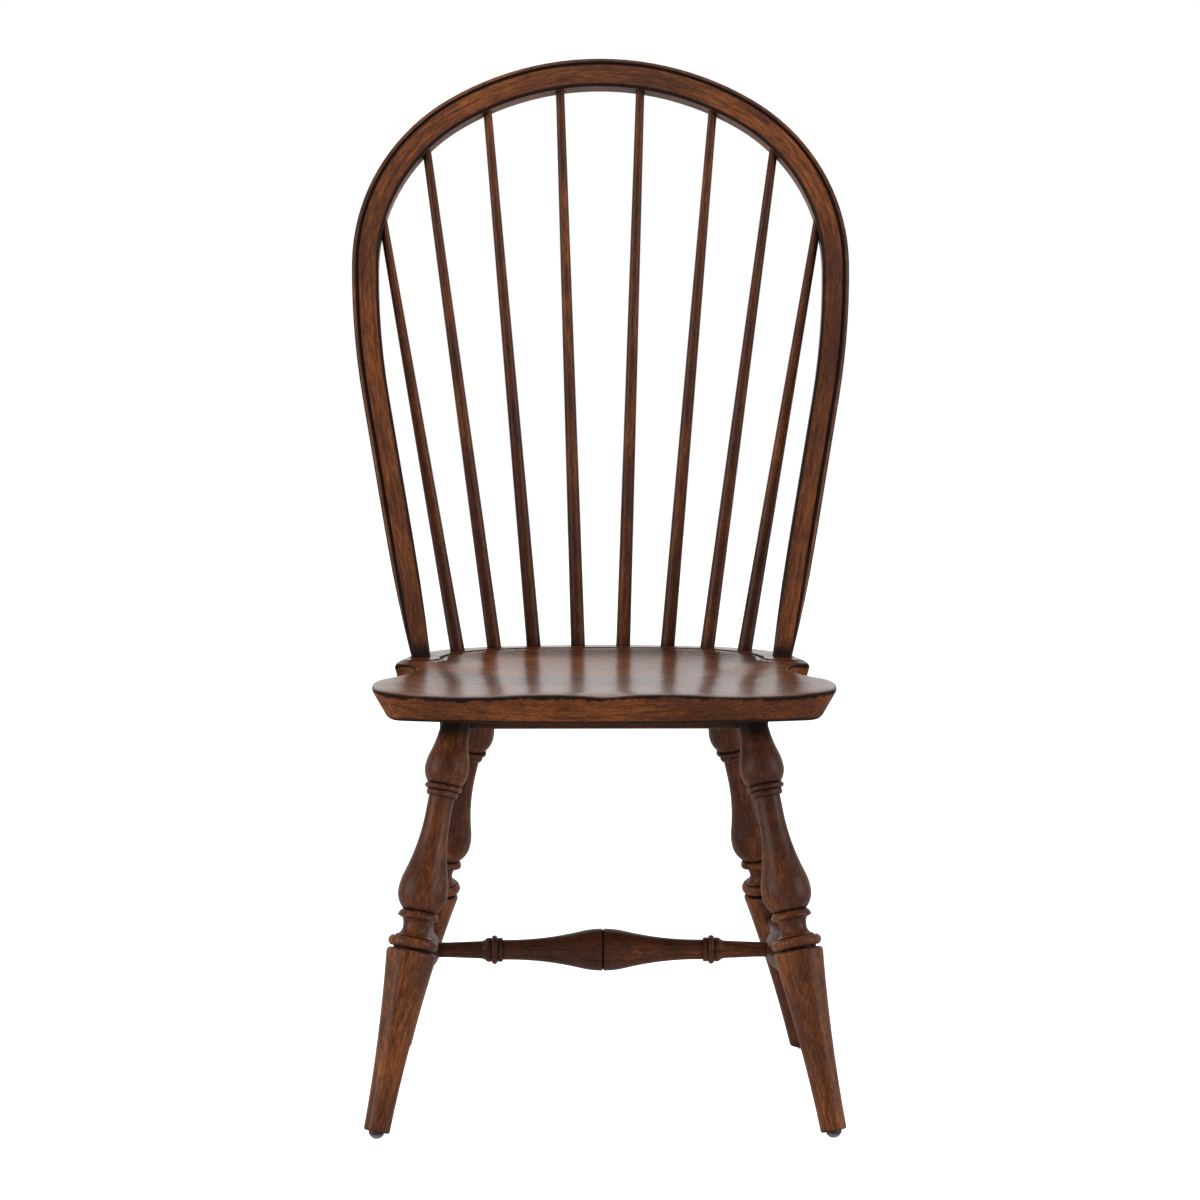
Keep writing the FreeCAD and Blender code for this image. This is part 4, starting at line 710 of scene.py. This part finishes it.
def finish_seat():
    """Wide boards seen from above, with glazing in the scribed deck line and a ragged dark line
    under the worn rim that is partly glazing and partly painted shade.

    Tilt is 1 on level wood, 0 on upright wood and -1 on the underside. Painted shade darkens the
    top wherever it slopes or rolls over, and the wood that faces down. Level wood is a little
    lighter.
    """
    finish = new_finish("seat_wood")
    place = grain_place(finish, (0, 0, DECK_Z), (1, 0, 0), 0.9)
    tilt = finish.parts(finish.node("NewGeometry", output=1))[2]
    across, along, _ = finish.parts(finish.object_place())
    along = along - FEET_MIDDLE_Y

    # Painted shade: the top darkens wherever it slopes or rolls over, and a ragged dark band,
    # partly glazing, runs down the side under the rim
    sloping_top_shade = tilt.rise(0.999, 0.97) * 0.5 + tilt.rise(0.94, 0.72) * 0.5
    below = finish.node("Attribute", {}, {"attribute_name": BELOW_RIM}, output=2)
    runs = finish.noise(place, 90, 4, 0.7).rise(0.40, 0.70) * 2.6 * MM
    uneven = finish.noise(place, 26, 2).rise(0.35, 0.65) * 2.4 * MM + runs + 2.4 * MM
    rim = (uneven - below).rise(-1.0 * MM, 2.0 * MM) * sloping_top_shade
    # Painted shade on the wood that faces down
    under = tilt.rise(-0.52, -0.80) * 0.75
    from_line = deck_line_inset(across.size(), along).size()
    line = from_line.rise(2.3 * MM, 1.3 * MM) * tilt.rise(0.3, 0.5)
    darkening = rim.most(under).most(line)

    front_centre_along = SEAT_FRONT_RADIUS - SEAT_FRONT
    from_front = SEAT_FRONT_RADIUS - off_centre(across, along, 0, front_centre_along)
    gloss = 0.20 + tilt.rise(0.60, -0.30) * 0.30 + from_front.rise(50 * MM, 0.0) * 0.12
    lacquer = tilt.rise(0.3, 0.9) * 0.36 + 0.14
    tone = tilt.rise(0.6, 0.95) * 0.06 + 0.66
    wood = stained(
        finish, place, tone, gloss, darkening, corner_shade=0.8, lacquer=lacquer, satin=0.27, relief=0.10
    )
    return finish.show(wood)


# Glides, nails and screws

GLIDE_PINK = (0.33, 0.25, 0.24, 1)
GLIDE_STAIN = (0.035, 0.022, 0.020, 1)
STEEL = (0.45, 0.44, 0.43, 1)


def glide_plastic(corner):
    """Grey-pink plastic, dark with stain where it meets the foot."""
    finish = new_finish(corner + "_plastic")
    height = finish.parts(finish.object_place())[2]
    scuffs = finish.noise(finish.object_place(), 700, 3)
    colour = finish.mix(GLIDE_PINK, GLIDE_STAIN, height.rise(1.5 * MM, 6 * MM))
    inputs = {"Base Color": colour, "Roughness": scuffs * 0.15 + 0.40}
    return finish.show(finish.node("BsdfPrincipled", inputs))


def worn_steel(node):
    """Plain steel with uneven wear."""
    finish = new_finish(node + "_steel")
    wear = finish.noise(finish.object_place(), 700, 3)
    inputs = {"Base Color": STEEL, "Roughness": wear * 0.15 + 0.35, "Metallic": 1.0}
    return finish.show(finish.node("BsdfPrincipled", inputs))


# Stage

FLOOR_HALF = 8.0
FLOOR_WHITE = (0.9, 0.9, 0.9, 1)
WHITE = (1, 1, 1, 1)
FLOOR_GLOW = 0.85
FRONT_LEVEL = 0.26
CAMERA_LENS = 115.4
CAMERA_PLACE = (-0.045, -4.0425, 0.882)
CAMERA_DOWN = math.radians(5.15)
CAMERA_TURN = math.radians(-0.600)


def lay_floor():
    """A white floor that keeps the chair's shadow."""
    mesh = bpy.data.meshes.new("floor")
    corners = [(x * FLOOR_HALF, y * FLOOR_HALF, 0) for x, y in ((-1, -1), (1, -1), (1, 1), (-1, 1))]
    mesh.from_pydata(corners, [], [(0, 1, 2, 3)])
    floor = bpy.data.objects.new("floor", mesh)
    bpy.context.scene.collection.objects.link(floor)
    floor.location.z = -0.5 * MM

    finish = new_finish("floor_white")
    matt = finish.node("BsdfDiffuse", {"Color": FLOOR_WHITE})
    glow = finish.node("Emission", {"Color": WHITE, "Strength": finish.seen() * FLOOR_GLOW})
    paint(floor, finish.show(finish.node("AddShader", {0: matt, 1: glow})))


def hang_world():
    """White behind the chair and wherever it is seen, and dimmer as light from the front."""
    world = bpy.data.worlds.new("studio")
    bpy.context.scene.world = world
    finish = Finish(world)
    behind = finish.parts(finish.node("TexCoord"))[1]
    level = behind.rise(0.15, 0.95, FRONT_LEVEL, 1.0).most(finish.seen())
    backdrop = finish.node("Background", {"Color": WHITE, "Strength": level})
    finish.node("OutputWorld", {"Surface": backdrop})


def softbox(name, place, aim, size, power):
    """A rectangular lamp at a place, facing an aim."""
    light = bpy.data.lights.new(name, "AREA")
    light.shape = "RECTANGLE"
    light.size, light.size_y = size
    light.energy = power
    box = bpy.data.objects.new(name, light)
    bpy.context.scene.collection.objects.link(box)
    box.location = place
    box.rotation_euler = (Vector(aim) - Vector(place)).to_track_quat("-Z", "Y").to_euler()


def set_camera():
    """The photograph's viewing angle, a little above the seat and slightly turned."""
    camera = bpy.data.cameras.new("camera")
    camera.sensor_width = 36
    camera.lens = CAMERA_LENS
    camera.clip_end = 50
    view = bpy.data.objects.new("camera", camera)
    bpy.context.scene.collection.objects.link(view)
    view.location = CAMERA_PLACE
    view.rotation_euler = (math.pi / 2 - CAMERA_DOWN, 0, CAMERA_TURN)
    bpy.context.scene.camera = view


for number in range(1, 9):
    finish_spindle(number)
for number, corner in enumerate(CORNERS):
    finish_leg(number, corner)
for number, name in enumerate(("left_side_stretcher", "right_side_stretcher", "centre_stretcher")):
    finish_rail(name, 20.0 + number, STRETCHER_TONE)
finish_rail("seat_batten", 30.0, BATTEN_TONE)
finish_bow()
paint(make_seat(), finish_seat())
for corner in CORNERS:
    paint(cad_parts[corner + "_glide"], glide_plastic(corner))
for name in ("batten_screws", "glide_nails"):
    paint(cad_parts[name], worn_steel(name))

lay_floor()
hang_world()
softbox("left_softbox", (-3.6, -1.7, 1.4), (0, 0, 0.6), (2.8, 2.6), 80)
softbox("right_softbox", (3.6, -1.5, 1.4), (0, 0, 0.6), (2.8, 2.6), 72)
softbox("top_softbox", (0, -0.6, 3.2), (0, 0, 0.5), (2.4, 2.4), 22)
set_camera()
bpy.context.scene.view_settings.view_transform = "Standard"
